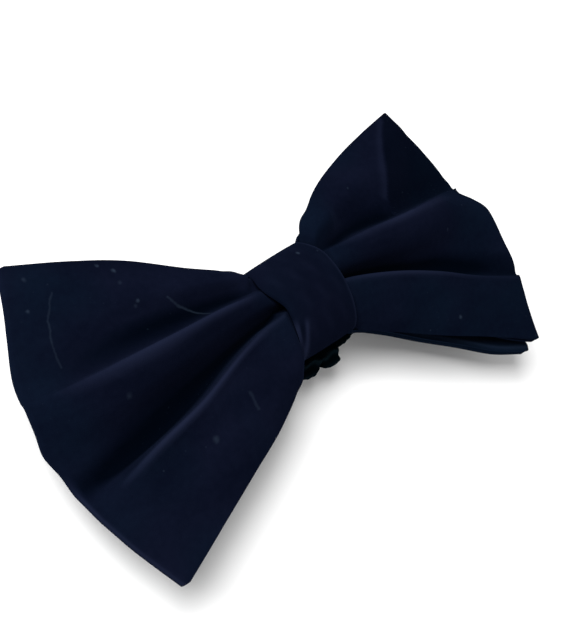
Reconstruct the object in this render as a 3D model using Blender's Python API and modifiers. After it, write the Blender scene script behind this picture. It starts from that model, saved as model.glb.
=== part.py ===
"""Velvet hair bow on a sprung alligator clip.

Two folded loop strips, one behind the other, are pinched by a winding of thread, held by a soft
wrap, backed by a gathered pad and carried by the clip's top jaw. X runs along the bow, Y across it,
Z out of its face. Metres. The bow lies on its clip, which stands on Z = 0.
"""

import math

import bmesh
import bpy
from mathutils import Vector

# Fit between pieces that touch
CLEARANCE = 0.0003

# Loop strips
CORNER_X = 0.068  # wing corners, from the middle of the bow
CORNER_Y = 0.0402
EDGE_BULGE = 0.012  # how far the outer fold bows out between its corners
CLOTH_THICKNESS = 0.0012
FOLD_THICKNESS = 0.0028  # two plies and the room between them
LOOP_PUFF = 0.0100  # height of the folds over the bow's plane
LOOP_BACK_DROP = 0.0016  # the front loop's back ply lies this far under the bow's plane
NEAR_TOP = 0.0196  # half heights of a wing just outside the knot
NEAR_BOTTOM = 0.0170
MID_TOP = 0.0305  # half heights half way along a wing
MID_BOTTOM = 0.0265
NEAR_STATION = 0.09  # where on a wing, from the knot to the outer edge
MID_STATION = 0.5

# Rear loop strip
REAR_LEFT_X = 0.0615  # its corners lie closer in on the left
REAR_RIGHT_X = 0.0700
REAR_CORNER_Y = 0.0390
REAR_DROP = 0.0012  # it sits this much lower than the front strip
REAR_TURN = -1.2  # and is turned by these degrees, so it shows under the right wing
REAR_EDGE_BULGE = 0.006
REAR_THICKNESS = 0.0026
LAYER_GAP = 0.0010
REAR_MOUTH_SHARE = 0.62  # of the front strip's height, where it enters the knot
REAR_NEAR_STATION = 0.1
REAR_NEAR_SPREAD = 0.13  # how far its folds have spread by that station
REAR_STATIONS = (0.0, REAR_NEAR_STATION, 0.3, 0.55, 0.8, 1.0)

# Knot wrap
KNOT_WIDTH = 0.0210
KNOT_HEIGHT = 0.0268
KNOT_CENTRE_Y = 0.0024
KNOT_WALL = 0.0012
KNOT_FRONT = 0.0108  # height of its front over the bow's plane
KNOT_BACK = 0.0055  # depth of its back under that plane
KNOT_MIDDLE = 0.0031  # level where its front half meets its back half
KNOT_FRONT_POWER = 1.8
KNOT_BACK_POWER = 4.0
KNOT_CROWN = 0.0006  # extra height half way across its width
PINCH = 0.72  # size of the gathered cloth in the middle, of its size at the mouth
MOUTH_LEVEL = -0.0008  # back of the front strip at the knot's mouth

# Gathering thread
THREAD_DIAMETER = 0.0007
THREAD_TURNS = 4
THREAD_PITCH = 0.00116
THREAD_STEPS = 20  # points in a turn

# Gathered back pad
PAD_LENGTH = 0.0290
PAD_CENTRE_X = 0.0030
PAD_TOP_Y = 0.0130
PAD_BOTTOM_Y = -0.0158
PAD_THICKNESS = 0.0037
PAD_LOBE = 0.0012  # depth of the scallops in its rim
PAD_LOBES = 12
PAD_CORNER_POWER = 0.68  # from 1, an ellipse, down to 0, a rectangle
PAD_FACE_POWER = 0.55  # how flat its faces are
PAD_RIM_POWER = 2.6  # how quickly it reaches its full outline from its faces' middles

# Alligator clip
PLATE = 0.0008
JAW_WIDTH = 0.0090
JAW_TIP_X = -0.0240
TAB_END_X = 0.0270
TAB_BEND_X = 0.0140
TAB_ANGLE = 12.0
PIN_X = 0.0090
PIN_Z = 0.0056
PIN_DIAMETER = 0.0016
PIN_HEAD_DIAMETER = 0.0028
PIN_HEAD = 0.0005
PIN_HEAD_FACE = 0.7  # flat end of a head, of its diameter
EAR_THICKNESS = 0.0006
EAR_RADIUS = 0.0020
EAR_HALF_BASE = 0.0038
TOP_JAW_Z = 0.0084  # underside of the top jaw
BELLY_X = -0.0080  # lowest part of the bowed bottom jaw
BELLY_HALF_FLAT = 0.0020
UNDER_PIN_Z = 0.0018
TIP_Z = 0.0056  # top face of the bottom jaw at its tip
JAW_CURVE = 1.7  # power of the curve from the tip down to the belly
TAB_FLAT = 0.0040  # end of the lower tab that lies on the surface
TOOTH_HEIGHT = 0.0011
TOOTH_COUNT = 4
TOOTH_PITCH = 0.0016
TOOTH_VALLEY = 0.75  # where in its pitch a tooth is lowest
TOOTH_WALL = 1.35  # length of the side walls that carry the teeth, of the teeth's own
LINING_THICKNESS = 0.0006
LINING_END_X = 0.0020
LINING_EDGE = 0.0005  # bare metal left along the lining's edges

# Torsion spring
SPRING_WIRE = 0.0006
SPRING_MEAN_DIAMETER = 0.0038
SPRING_TURNS = 4
SPRING_PITCH = 0.00095
SPRING_STEPS = 10
SPRING_LEG = 0.0085

# Levels that follow
LINING_Z = TOP_JAW_Z - CLEARANCE - LINING_THICKNESS
PAD_Z = TOP_JAW_Z + PLATE + CLEARANCE
BOW_PLANE = PAD_Z + PAD_THICKNESS + CLEARANCE + KNOT_BACK
MOUTH_X = KNOT_WIDTH / 2 + CLEARANCE

# Folds of each wing, from the top edge to the bottom edge. Each line gives its place and its height
# at the knot's mouth, just outside it, half way and at the outer edge. A place is a share of the half
# height there, up or down from the middle, and a height is a share of the puff.
LEFT_FOLDS = (
    ((1.00, 0.30), (1.00, 0.45), (1.00, 0.30), (1.00, 0.30)),
    ((0.80, 0.55), (0.82, 0.60), (0.72, 0.58), (0.68, 0.20)),
    ((0.62, 0.35), (0.62, 0.30), (0.47, 0.32), (0.48, 0.28)),
    ((0.44, 0.90), (0.45, 0.92), (0.29, 0.95), (0.35, 0.50)),
    ((0.20, 0.90), (0.24, 0.70), (0.10, 0.74), (0.10, 0.42)),
    ((0.02, 0.35), (0.06, 0.25), (-0.20, 0.10), (-0.27, 0.12)),
    ((-0.14, 0.97), (-0.04, 0.98), (-0.26, 0.92), (-0.37, 0.34)),
    ((-0.62, 0.92), (-0.52, 0.85), (-0.62, 0.76), (-0.68, 0.42)),
    ((-1.00, 0.30), (-1.00, 0.35), (-1.00, 0.44), (-1.00, 0.50)),
)
RIGHT_FOLDS = (
    ((1.00, 0.30), (1.00, 0.25), (1.08, 0.00), (1.00, -0.10)),
    ((0.80, 0.60), (0.80, 0.55), (0.84, 0.42), (0.63, -0.20)),
    ((0.62, 0.35), (0.66, 0.30), (0.46, 0.20), (0.28, -0.30)),
    ((0.44, 0.90), (0.50, 1.00), (0.29, 1.20), (0.15, 0.42)),
    ((0.20, 0.90), (0.28, 0.80), (0.10, 0.90), (0.00, 0.52)),
    ((0.02, 0.35), (0.08, 0.20), (-0.11, 0.04), (-0.17, 0.42)),
    ((-0.14, 0.97), (-0.06, 0.98), (-0.26, 0.88), (-0.51, 0.40)),
    ((-0.62, 0.92), (-0.52, 0.80), (-0.64, 0.62), (-0.78, 0.32)),
    ((-1.00, 0.30), (-0.90, 0.30), (-1.02, 0.20), (-1.00, 0.30)),
)
FRONT_STATIONS = (0.0, 0.05, 0.12, 0.26, 0.42, 0.58, 0.74, 0.88, 1.0)
BACK_STATIONS = (1.0, 0.72, 0.36, 0.1, 0.0)

VELVET = ("navy_velvet", (0.0052, 0.0080, 0.0160), 0.95, 0.0)
LINING = ("black_ribbon", (0.010, 0.012, 0.016), 0.85, 0.0)
THREAD = ("navy_thread", (0.012, 0.016, 0.030), 0.7, 0.0)
STEEL = ("plated_steel", (0.62, 0.62, 0.63), 0.3, 1.0)
SPRING_STEEL = ("spring_steel", (0.45, 0.45, 0.46), 0.35, 1.0)


def clear_scene():
    for item in list(bpy.data.objects):
        bpy.data.objects.remove(item, do_unlink=True)


def collection(name):
    found = bpy.data.collections.new(name)
    bpy.context.scene.collection.children.link(found)
    return found


def finish_of(name, colour, roughness, metallic):
    """The Principled material of this name, made when it is first asked for."""
    found = bpy.data.materials.get(name)
    if found is None:
        found = bpy.data.materials.new(name)
        found.use_nodes = True
        shader = found.node_tree.nodes["Principled BSDF"]
        shader.inputs["Base Color"].default_value = (*colour, 1.0)
        shader.inputs["Roughness"].default_value = roughness
        shader.inputs["Metallic"].default_value = metallic
    return found


def add_piece(name, mesh, finish):
    piece = bpy.data.objects.new(name, mesh)
    PARTS.objects.link(piece)
    mesh.materials.clear()
    mesh.materials.append(finish_of(*finish))
    return piece


def mesh_from(build, name):
    """A new mesh from the bmesh that build fills."""
    work = bmesh.new()
    build(work)
    mesh = bpy.data.meshes.new(name)
    work.to_mesh(mesh)
    work.free()
    return mesh


def thicken(piece, thickness):
    """Gives an open shell its wall, inwards from the surface that shows."""
    wall = piece.modifiers.new("wall", "SOLIDIFY")
    wall.thickness = thickness
    wall.offset = -1.0


def smooth(piece, angle=40.0):
    piece.data.shade_smooth()
    piece.data.set_sharp_from_angle(angle=math.radians(angle))


def mesh_of_curve(curve_object):
    """The curve's solid as a mesh object, with its caps welded; the curve is removed."""
    bpy.context.view_layer.update()
    evaluated = curve_object.evaluated_get(bpy.context.evaluated_depsgraph_get())
    mesh = bpy.data.meshes.new_from_object(evaluated)
    work = bmesh.new()
    work.from_mesh(mesh)
    bmesh.ops.remove_doubles(work, verts=work.verts, dist=1e-7)
    bmesh.ops.recalc_face_normals(work, faces=work.faces)
    work.to_mesh(mesh)
    work.free()
    made = bpy.data.objects.new(curve_object.name, mesh)
    made.matrix_world = curve_object.matrix_world.copy()
    bpy.data.objects.remove(curve_object, do_unlink=True)
    return made


def side_plate(name, outline, width, centre_y=0.0):
    """A solid of this outline in the XZ plane, with its width along Y."""
    curve = bpy.data.curves.new(name, "CURVE")
    curve.dimensions = "2D"
    curve.fill_mode = "BOTH"
    curve.extrude = width / 2
    spline = curve.splines.new("POLY")
    spline.points.add(len(outline) - 1)
    for point, (x, z) in zip(spline.points, outline):
        point.co = (x, z, 0.0, 1.0)
    spline.use_cyclic_u = True
    item = bpy.data.objects.new(name, curve)
    bpy.context.scene.collection.objects.link(item)
    item.rotation_euler.x = math.radians(90)
    item.location.y = centre_y
    return mesh_of_curve(item)


def wire(name, points, diameter, finish, resolution=1):
    """A round wire along the points, with closed ends."""
    curve = bpy.data.curves.new(name, "CURVE")
    curve.dimensions = "3D"
    curve.bevel_depth = diameter / 2
    curve.bevel_resolution = resolution
    curve.use_fill_caps = True
    spline = curve.splines.new("POLY")
    spline.points.add(len(points) - 1)
    for point, place in zip(spline.points, points):
        point.co = (*place, 1.0)
    piece = bpy.data.objects.new(name, curve)
    curve.materials.append(finish_of(*finish))
    PARTS.objects.link(piece)
    return piece


def as_tool(item):
    """Hides a shape that only cuts or joins another."""
    for owner in list(item.users_collection):
        owner.objects.unlink(item)
    TOOLS.objects.link(item)
    item.hide_render = True
    item.display_type = "WIRE"
    return item


def combine(piece, tool, operation):
    step = piece.modifiers.new(tool.name, "BOOLEAN")
    step.operation = operation
    step.object = as_tool(tool)


def print_gap(name, points, steps, diameter):
    """Prints the least gap between a winding's turns, measured on its points."""
    places = [Vector(point) for point in points]
    least = min(
        (other - place).length for index, place in enumerate(places) for other in places[index + steps // 2 :]
    )
    print(f"{name}: least gap to itself {(least - diameter) * 1000:.2f} mm")


def rod(name, diameter, length, place, sides=20):
    """A cylinder along Y."""
    mesh = mesh_from(
        lambda work: bmesh.ops.create_cone(
            work, cap_ends=True, segments=sides, radius1=diameter / 2, radius2=diameter / 2, depth=length
        ),
        name,
    )
    item = bpy.data.objects.new(name, mesh)
    item.rotation_euler.x = math.radians(90)
    item.location = place
    bpy.context.scene.collection.objects.link(item)
    return item


def spline_value(knots, values, at):
    """A smooth curve through the values at the knots (cubic, with slopes from the neighbours)."""
    last = len(knots) - 1
    index = max(i for i in range(last) if knots[i] <= at or i == 0)
    slopes = []
    for i in (index, index + 1):
        before, after = max(i - 1, 0), min(i + 1, last)
        slopes.append((values[after] - values[before]) / (knots[after] - knots[before]))
    span = knots[index + 1] - knots[index]
    t = (at - knots[index]) / span
    start = values[index] * (2 * t**3 - 3 * t**2 + 1) + slopes[0] * span * (t**3 - 2 * t**2 + t)
    end = values[index + 1] * (3 * t**2 - 2 * t**3) + slopes[1] * span * (t**3 - t**2)
    return start + end


def power_curve(share, power):
    """Height of a superellipse, as a share, at this share of its half width."""
    return max(0.0, 1.0 - abs(share) ** power) ** (1.0 / power)


def knot_half_height(inset):
    return KNOT_HEIGHT / 2 - inset


def knot_front(y, inset):
    """Height of the knot's front wall, or of a surface this far inside it, at the knot's rim."""
    share = (y - KNOT_CENTRE_Y) / knot_half_height(inset)
    return KNOT_MIDDLE + (KNOT_FRONT - KNOT_MIDDLE - inset) * power_curve(share, KNOT_FRONT_POWER)


def eased(value):
    value = min(max(value, 0.0), 1.0)
    return value * value * (3.0 - 2.0 * value)


class Wing:
    """One wing of the front strip: its surfaces over (fold line, station)."""

    def __init__(self, side, folds):
        self.side = side
        self.folds = folds
        self.knots = (0.0, NEAR_STATION, MID_STATION, 1.0)

    def mouth(self, line):
        """Place across the knot and height of a fold where it leaves the knot."""
        place, height = self.folds[line][0]
        room = KNOT_WALL + 2 * CLEARANCE
        y = KNOT_CENTRE_Y + place * (knot_half_height(room) - CLEARANCE)
        ceiling = knot_front(y, room)
        least = MOUTH_LEVEL + FOLD_THICKNESS
        return y, max(least, MOUTH_LEVEL + height * (ceiling - MOUTH_LEVEL))

    def place(self, line, station):
        """Y of a fold at a station."""
        mouth_y, _ = self.mouth(line)
        tops = (None, NEAR_TOP, MID_TOP, CORNER_Y)
        bottoms = (None, NEAR_BOTTOM, MID_BOTTOM, CORNER_Y)
        values = [mouth_y]
        for index in (1, 2, 3):
            share = self.folds[line][index][0]
            values.append(share * (tops[index] if share > 0 else bottoms[index]))
        return spline_value(self.knots, values, station)

    def height(self, line, station):
        """Height of the front ply over the bow's plane."""
        _, mouth_z = self.mouth(line)
        values = [mouth_z]
        for index in (1, 2, 3):
            values.append(self.folds[line][index][1] * LOOP_PUFF)
        return spline_value(self.knots, values, station)

    def back(self, line, station):
        """Height of the back ply's outer face."""
        flat = MOUTH_LEVEL + (-LOOP_BACK_DROP - MOUTH_LEVEL) * eased(station / NEAR_STATION)
        edge = self.folds[line][3][1] * LOOP_PUFF - FOLD_THICKNESS
        rise = eased((station - MID_STATION) / (1.0 - MID_STATION))
        level = flat + (edge - flat) * rise
        return min(level, self.height(line, station) - FOLD_THICKNESS)

    def edge_x(self, y):
        return CORNER_X + EDGE_BULGE * (1.0 - (y / CORNER_Y) ** 2)

    def x(self, line, station):
        y = self.place(line, 1.0)
        return MOUTH_X + (self.edge_x(y) - FOLD_THICKNESS / 2 - MOUTH_X) * station

    def front_point(self, line, station):
        return (self.side * self.x(line, station), self.place(line, station), self.height(line, station))

    def back_point(self, line, station):
        return (self.side * self.x(line, station), self.place(line, station), self.back(line, station))

    def outermost(self, line):
        y = self.place(line, 1.0)
        return (self.side * self.edge_x(y), y, self.height(line, 1.0) - FOLD_THICKNESS / 2)

    def pinched(self, line, level):
        """Where a fold crosses the middle of the knot, gathered tight."""
        y, z = self.mouth(line)
        z = level if level is not None else z
        return (0.0, KNOT_CENTRE_Y + (y - KNOT_CENTRE_Y) * PINCH, KNOT_MIDDLE + (z - KNOT_MIDDLE) * PINCH)


def rear_point(wing, line, station, under, outward=0.0):
    """A point of the rear strip's upper or lower face. It follows the front strip's back."""
    share = wing.folds[line][3][0]
    corner_x = REAR_RIGHT_X if wing.side > 0 else REAR_LEFT_X
    edge_x = corner_x + REAR_EDGE_BULGE * (1.0 - share**2) - REAR_THICKNESS / 2
    x = MOUTH_X + (edge_x - MOUTH_X) * station
    mouth_y = KNOT_CENTRE_Y + (wing.mouth(line)[0] - KNOT_CENTRE_Y) * REAR_MOUTH_SHARE
    spread = spline_value((0.0, REAR_NEAR_STATION, 1.0), (0.0, REAR_NEAR_SPREAD, 1.0), station)
    y = mouth_y + (share * REAR_CORNER_Y - mouth_y) * spread
    leave = eased(station / REAR_NEAR_STATION)
    front_station = min(1.0, (x - MOUTH_X) / (wing.x(line, 1.0) - MOUTH_X))
    flat = MOUTH_LEVEL - CLEARANCE - (LOOP_BACK_DROP + MOUTH_LEVEL + LAYER_GAP) * leave
    beside = range(max(0, line - 1), min(len(wing.folds), line + 2))
    lowest = min(wing.back(other, front_station) for other in beside)
    level = min(flat, lowest - CLEARANCE - LAYER_GAP * leave) - (REAR_THICKNESS if under else 0.0)
    turn = math.radians(REAR_TURN) * leave
    x = wing.side * (x + outward)
    turned_y = x * math.sin(turn) + y * math.cos(turn) - REAR_DROP * leave
    return (x * math.cos(turn) - y * math.sin(turn), turned_y, level)


def rear_outermost(wing, line):
    x, y, z = rear_point(wing, line, 1.0, False, REAR_THICKNESS / 2)
    return (x, y, z - REAR_THICKNESS / 2)


def rear_pinched(wing, line, under):
    _, y, z = rear_point(wing, line, 0.0, under)
    level = KNOT_MIDDLE + (MOUTH_LEVEL - KNOT_MIDDLE) * PINCH - CLEARANCE
    return (0.0, KNOT_CENTRE_Y + (y - KNOT_CENTRE_Y) * PINCH, level - (REAR_THICKNESS if under else 0.0))


def loop_strip(name, lines, ring_of_line, half_rows, thickness):
    """A closed loop of cloth: rings of points, one for each fold line, skinned and given a wall.

    Rows between two fold lines lie on a smooth curve through them.
    """
    rings = [ring_of_line(line) for line in range(lines)]
    knots = list(range(lines))
    steps = (lines - 1) * half_rows
    rows = []
    for step in range(steps + 1):
        at = step / half_rows
        row = []
        for column in range(len(rings[0])):
            places = [ring[column] for ring in rings]
            row.append(tuple(spline_value(knots, [place[i] for place in places], at) for i in range(3)))
        rows.append(row)

    def build(work):
        grid = [[work.verts.new((x, y, BOW_PLANE + z)) for x, y, z in row] for row in rows]
        count = len(rows[0])
        for upper, lower in zip(grid, grid[1:]):
            for i in range(count):
                j = (i + 1) % count
                work.faces.new((upper[i], lower[i], lower[j], upper[j]))

    piece = add_piece(name, mesh_from(build, name), VELVET)
    thicken(piece, thickness)
    smooth(piece, 60.0)
    return piece


def make_front_bow():
    left, right = Wing(-1, LEFT_FOLDS), Wing(1, RIGHT_FOLDS)

    def ring(line):
        points = [left.pinched(line, None)]
        points += [right.front_point(line, s) for s in FRONT_STATIONS]
        points += [right.outermost(line)]
        points += [right.back_point(line, s) for s in BACK_STATIONS]
        points += [left.pinched(line, MOUTH_LEVEL)]
        points += [left.back_point(line, s) for s in reversed(BACK_STATIONS)]
        points += [left.outermost(line)]
        points += [left.front_point(line, s) for s in reversed(FRONT_STATIONS)]
        return points

    return loop_strip("front_bow", len(LEFT_FOLDS), ring, 2, CLOTH_THICKNESS)


def make_rear_bow():
    left, right = Wing(-1, LEFT_FOLDS), Wing(1, RIGHT_FOLDS)

    def ring(line):
        points = [rear_pinched(left, line, False)]
        points += [rear_point(right, line, s, False) for s in REAR_STATIONS]
        points += [rear_outermost(right, line)]
        points += [rear_point(right, line, s, True) for s in reversed(REAR_STATIONS)]
        points += [rear_pinched(left, line, True)]
        points += [rear_point(left, line, s, True) for s in REAR_STATIONS]
        points += [rear_outermost(left, line)]
        points += [rear_point(left, line, s, False) for s in reversed(REAR_STATIONS)]
        return points

    return loop_strip("rear_bow", len(LEFT_FOLDS), ring, 1, (REAR_THICKNESS - CLEARANCE) / 2)


def make_knot_wrap():
    """A band round the gathered middle, crowned half way across its width."""
    around, across = 32, 6

    def point(turn, share):
        crown = KNOT_CROWN * (1.0 - share**2)
        angle = 2 * math.pi * turn / around
        front = math.sin(angle) >= 0
        power = KNOT_FRONT_POWER if front else KNOT_BACK_POWER
        reach = KNOT_FRONT + crown - KNOT_MIDDLE if front else KNOT_BACK + KNOT_MIDDLE
        c, s = math.cos(angle), math.sin(angle)
        y = KNOT_CENTRE_Y + KNOT_HEIGHT / 2 * math.copysign(abs(c) ** (2 / power), c)
        z = KNOT_MIDDLE + reach * math.copysign(abs(s) ** (2 / power), s)
        return (share * KNOT_WIDTH / 2, y, BOW_PLANE + z)

    def build(work):
        grid = []
        for step in range(across + 1):
            share = 2 * step / across - 1
            grid.append([work.verts.new(point(turn, share)) for turn in range(around)])
        for left, right in zip(grid, grid[1:]):
            for i in range(around):
                j = (i + 1) % around
                work.faces.new((left[i], left[j], right[j], right[i]))

    piece = add_piece("knot_wrap", mesh_from(build, "knot_wrap"), VELVET)
    thicken(piece, KNOT_WALL)
    smooth(piece)


def make_gather_thread():
    """The winding that pinches both strips, inside the wrap."""
    reach = THREAD_TURNS * THREAD_PITCH / 2
    scale = PINCH + (1.0 - PINCH) * (reach + THREAD_DIAMETER) / MOUTH_X
    grow = CLEARANCE + THREAD_DIAMETER
    half = knot_half_height(KNOT_WALL + 3 * CLEARANCE) * scale + grow
    rise = (KNOT_FRONT - KNOT_WALL - KNOT_MIDDLE) * scale + grow
    pinched_back = KNOT_MIDDLE + (MOUTH_LEVEL - KNOT_MIDDLE) * PINCH
    fall = KNOT_MIDDLE - pinched_back + CLEARANCE + REAR_THICKNESS + grow
    points = []
    for step in range(THREAD_TURNS * THREAD_STEPS + 1):
        angle = 2 * math.pi * step / THREAD_STEPS
        c, s = math.cos(angle), math.sin(angle)
        power = KNOT_FRONT_POWER if s >= 0 else KNOT_BACK_POWER
        y = KNOT_CENTRE_Y + half * math.copysign(abs(c) ** (2 / power), c)
        z = KNOT_MIDDLE + (rise if s >= 0 else fall) * math.copysign(abs(s) ** (2 / power), s)
        x = THREAD_PITCH * step / THREAD_STEPS - reach
        points.append((x, y, BOW_PLANE + z))
    wire("gather_thread", points, THREAD_DIAMETER, THREAD)
    print_gap("gather_thread", points, THREAD_STEPS, THREAD_DIAMETER)


def make_back_pad():
    """A flat pad of gathered cloth with a scalloped rim."""
    half_height = (PAD_TOP_Y - PAD_BOTTOM_Y) / 2
    centre_y = (PAD_TOP_Y + PAD_BOTTOM_Y) / 2

    def build(work):
        bmesh.ops.create_uvsphere(work, u_segments=54, v_segments=10, radius=1.0)
        for vert in work.verts:
            x, y, z = vert.co
            flat = math.hypot(x, y)
            angle = math.atan2(y, x)
            plump = 1.0 - (1.0 - min(flat, 1.0)) ** PAD_RIM_POWER
            lobes = 1.0 - PAD_LOBE / half_height * (1.0 - abs(math.cos(PAD_LOBES * angle / 2)))
            c, s = math.cos(angle), math.sin(angle)
            reach_x = PAD_LENGTH / 2 * math.copysign(abs(c) ** PAD_CORNER_POWER, c)
            reach_y = half_height * math.copysign(abs(s) ** PAD_CORNER_POWER, s)
            vert.co.x = PAD_CENTRE_X + reach_x * plump * lobes
            vert.co.y = centre_y + reach_y * plump * lobes
            thick = math.copysign(abs(z) ** PAD_FACE_POWER, z)
            vert.co.z = PAD_Z + PAD_THICKNESS / 2 * (1.0 + thick)

    piece = add_piece("back_pad", mesh_from(build, "back_pad"), VELVET)
    smooth(piece, 60.0)


def bent_outline(path, thickness):
    """The closed outline of a plate whose upper face follows the path, from its side."""
    lower = []
    for index, (x, z) in enumerate(path):
        before = Vector(path[max(index - 1, 0)])
        after = Vector(path[min(index + 1, len(path) - 1)])
        along = (after - before).normalized()
        lower.append((x + along.y * thickness, z - along.x * thickness))
    return list(path) + lower[::-1]


def ear_outline(base_z):
    """A lug from a plate's face at base_z that rounds off past the pin."""
    up = 1.0 if base_z < PIN_Z else -1.0
    points = [(PIN_X - EAR_HALF_BASE, base_z), (PIN_X + EAR_HALF_BASE, base_z)]
    for step in range(9):
        angle = math.radians(10 + 20 * step)
        points.append((PIN_X + EAR_RADIUS * math.cos(angle), PIN_Z + up * EAR_RADIUS * math.sin(angle)))
    return points


def add_ears(jaw, base_z, centre_y):
    for side in (-1, 1):
        ear = side_plate(f"{jaw.name}_ear_{side}", ear_outline(base_z), EAR_THICKNESS, side * centre_y)
        combine(jaw, ear, "UNION")
    hole = PIN_DIAMETER + 2 * CLEARANCE
    drill = rod(f"{jaw.name}_bore", hole, 2 * JAW_WIDTH, (PIN_X, 0.0, PIN_Z))
    combine(jaw, drill, "DIFFERENCE")


def jaw_piece(name, outline):
    made = side_plate(name, outline, JAW_WIDTH)
    made.name = name
    made.data.name = name
    made.data.materials.clear()
    made.data.materials.append(finish_of(*STEEL))
    PARTS.objects.link(made)
    return made


def top_ear_y():
    return JAW_WIDTH / 2 - EAR_THICKNESS / 2


def bottom_ear_y():
    return top_ear_y() - EAR_THICKNESS - CLEARANCE


def make_top_jaw():
    """The flat jaw that the bow is fixed on, its finger tab bent towards the bow."""
    face = TOP_JAW_Z + PLATE
    rise = (TAB_END_X - TAB_BEND_X) * math.tan(math.radians(TAB_ANGLE))
    path = [(JAW_TIP_X, face), (TAB_BEND_X, face), (TAB_END_X, face + rise)]
    jaw = jaw_piece("clip_top_jaw", bent_outline(path, PLATE))
    add_ears(jaw, TOP_JAW_Z + PLATE / 2, top_ear_y())


def bow_height(x):
    """Upper face of the bottom jaw between its tip and the middle of its belly."""
    belly_start = BELLY_X - BELLY_HALF_FLAT
    share = (x - JAW_TIP_X) / (belly_start - JAW_TIP_X)
    return PLATE + (TIP_Z - PLATE) * (1.0 - share) ** JAW_CURVE


def bottom_path():
    """Upper face of the bottom jaw: tip, bowed belly, level under the pin, tab down to the surface."""
    belly_start = BELLY_X - BELLY_HALF_FLAT
    belly_end = BELLY_X + BELLY_HALF_FLAT
    points = []
    for step in range(8):
        x = JAW_TIP_X + (belly_start - JAW_TIP_X) * step / 7
        points.append((x, bow_height(x)))
    pin_start = PIN_X - EAR_HALF_BASE
    for step in range(5):
        share = step / 4
        x = belly_end + (pin_start - belly_end) * share
        points.append((x, PLATE + (UNDER_PIN_Z - PLATE) * eased(share)))
    points.append((PIN_X + EAR_HALF_BASE, UNDER_PIN_Z))
    points.append((TAB_END_X - TAB_FLAT, PLATE))
    points.append((TAB_END_X, PLATE))
    return points


def tooth_outline():
    """A side wall of the bottom jaw by its tip, with saw teeth that meet the lining."""
    crest = LINING_Z - CLEARANCE
    points = [(JAW_TIP_X, TIP_Z - PLATE / 2), (JAW_TIP_X, crest)]
    for tooth in range(TOOTH_COUNT):
        x = JAW_TIP_X + tooth * TOOTH_PITCH
        points.append((x + TOOTH_VALLEY * TOOTH_PITCH, crest - TOOTH_HEIGHT))
        points.append((x + TOOTH_PITCH, crest))
    end = JAW_TIP_X + TOOTH_COUNT * TOOTH_PITCH
    for share in (TOOTH_WALL, 1.0, 0.75, 0.5, 0.25):
        x = JAW_TIP_X + share * (end - JAW_TIP_X)
        points.append((x, bow_height(x) - PLATE / 2))
    return points


def make_bottom_jaw(hinge):
    """The moving jaw: a bowed plate with toothed rims, lugs round the pin and a finger tab."""
    jaw = jaw_piece("clip_bottom_jaw", bent_outline(bottom_path(), PLATE))
    for side in (-1, 1):
        place = side * (JAW_WIDTH / 2 - PLATE / 2)
        teeth = side_plate(f"teeth_{side}", tooth_outline(), PLATE, place)
        combine(jaw, teeth, "UNION")
    add_ears(jaw, UNDER_PIN_Z - PLATE / 2, bottom_ear_y())
    jaw.parent = hinge
    jaw.matrix_parent_inverse = hinge.matrix_world.inverted()


def make_lining():
    """Ribbon on the top jaw's grip face."""
    length = LINING_END_X - JAW_TIP_X - LINING_EDGE
    mesh = mesh_from(lambda work: bmesh.ops.create_cube(work, size=1.0), "clip_lining")
    piece = add_piece("clip_lining", mesh, LINING)
    size = Vector((length, JAW_WIDTH - 2 * LINING_EDGE, LINING_THICKNESS))
    for vert in mesh.vertices:
        vert.co = vert.co * size
    piece.location = (LINING_END_X - length / 2, 0.0, LINING_Z + LINING_THICKNESS / 2)
    edge = piece.modifiers.new("soft_edge", "BEVEL")
    edge.width = LINING_THICKNESS / 4
    edge.segments = 2


def make_pin(hinge):
    """The hinge pin, a turned shank with a head at each end."""
    reach = JAW_WIDTH / 2 + CLEARANCE
    profile = [
        (0.0, reach + PIN_HEAD),
        (PIN_HEAD_FACE * PIN_HEAD_DIAMETER / 2, reach + PIN_HEAD),
        (PIN_HEAD_DIAMETER / 2, reach + PIN_HEAD / 2),
        (PIN_HEAD_DIAMETER / 2, reach),
        (PIN_DIAMETER / 2, reach),
    ]
    profile += [(x, -z) for x, z in profile[::-1]]

    def build(work):
        verts = [work.verts.new((x, 0.0, z)) for x, z in profile]
        for start, end in zip(verts, verts[1:]):
            work.edges.new((start, end))

    piece = add_piece("hinge_pin", mesh_from(build, "hinge_pin"), STEEL)
    turn = piece.modifiers.new("turned", "SCREW")
    turn.steps = turn.render_steps = 20
    turn.use_merge_vertices = True
    turn.merge_threshold = 0.00001
    turn.use_normal_calculate = True
    piece.location = hinge.location
    piece.rotation_euler.x = math.radians(90)
    smooth(piece)


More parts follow.
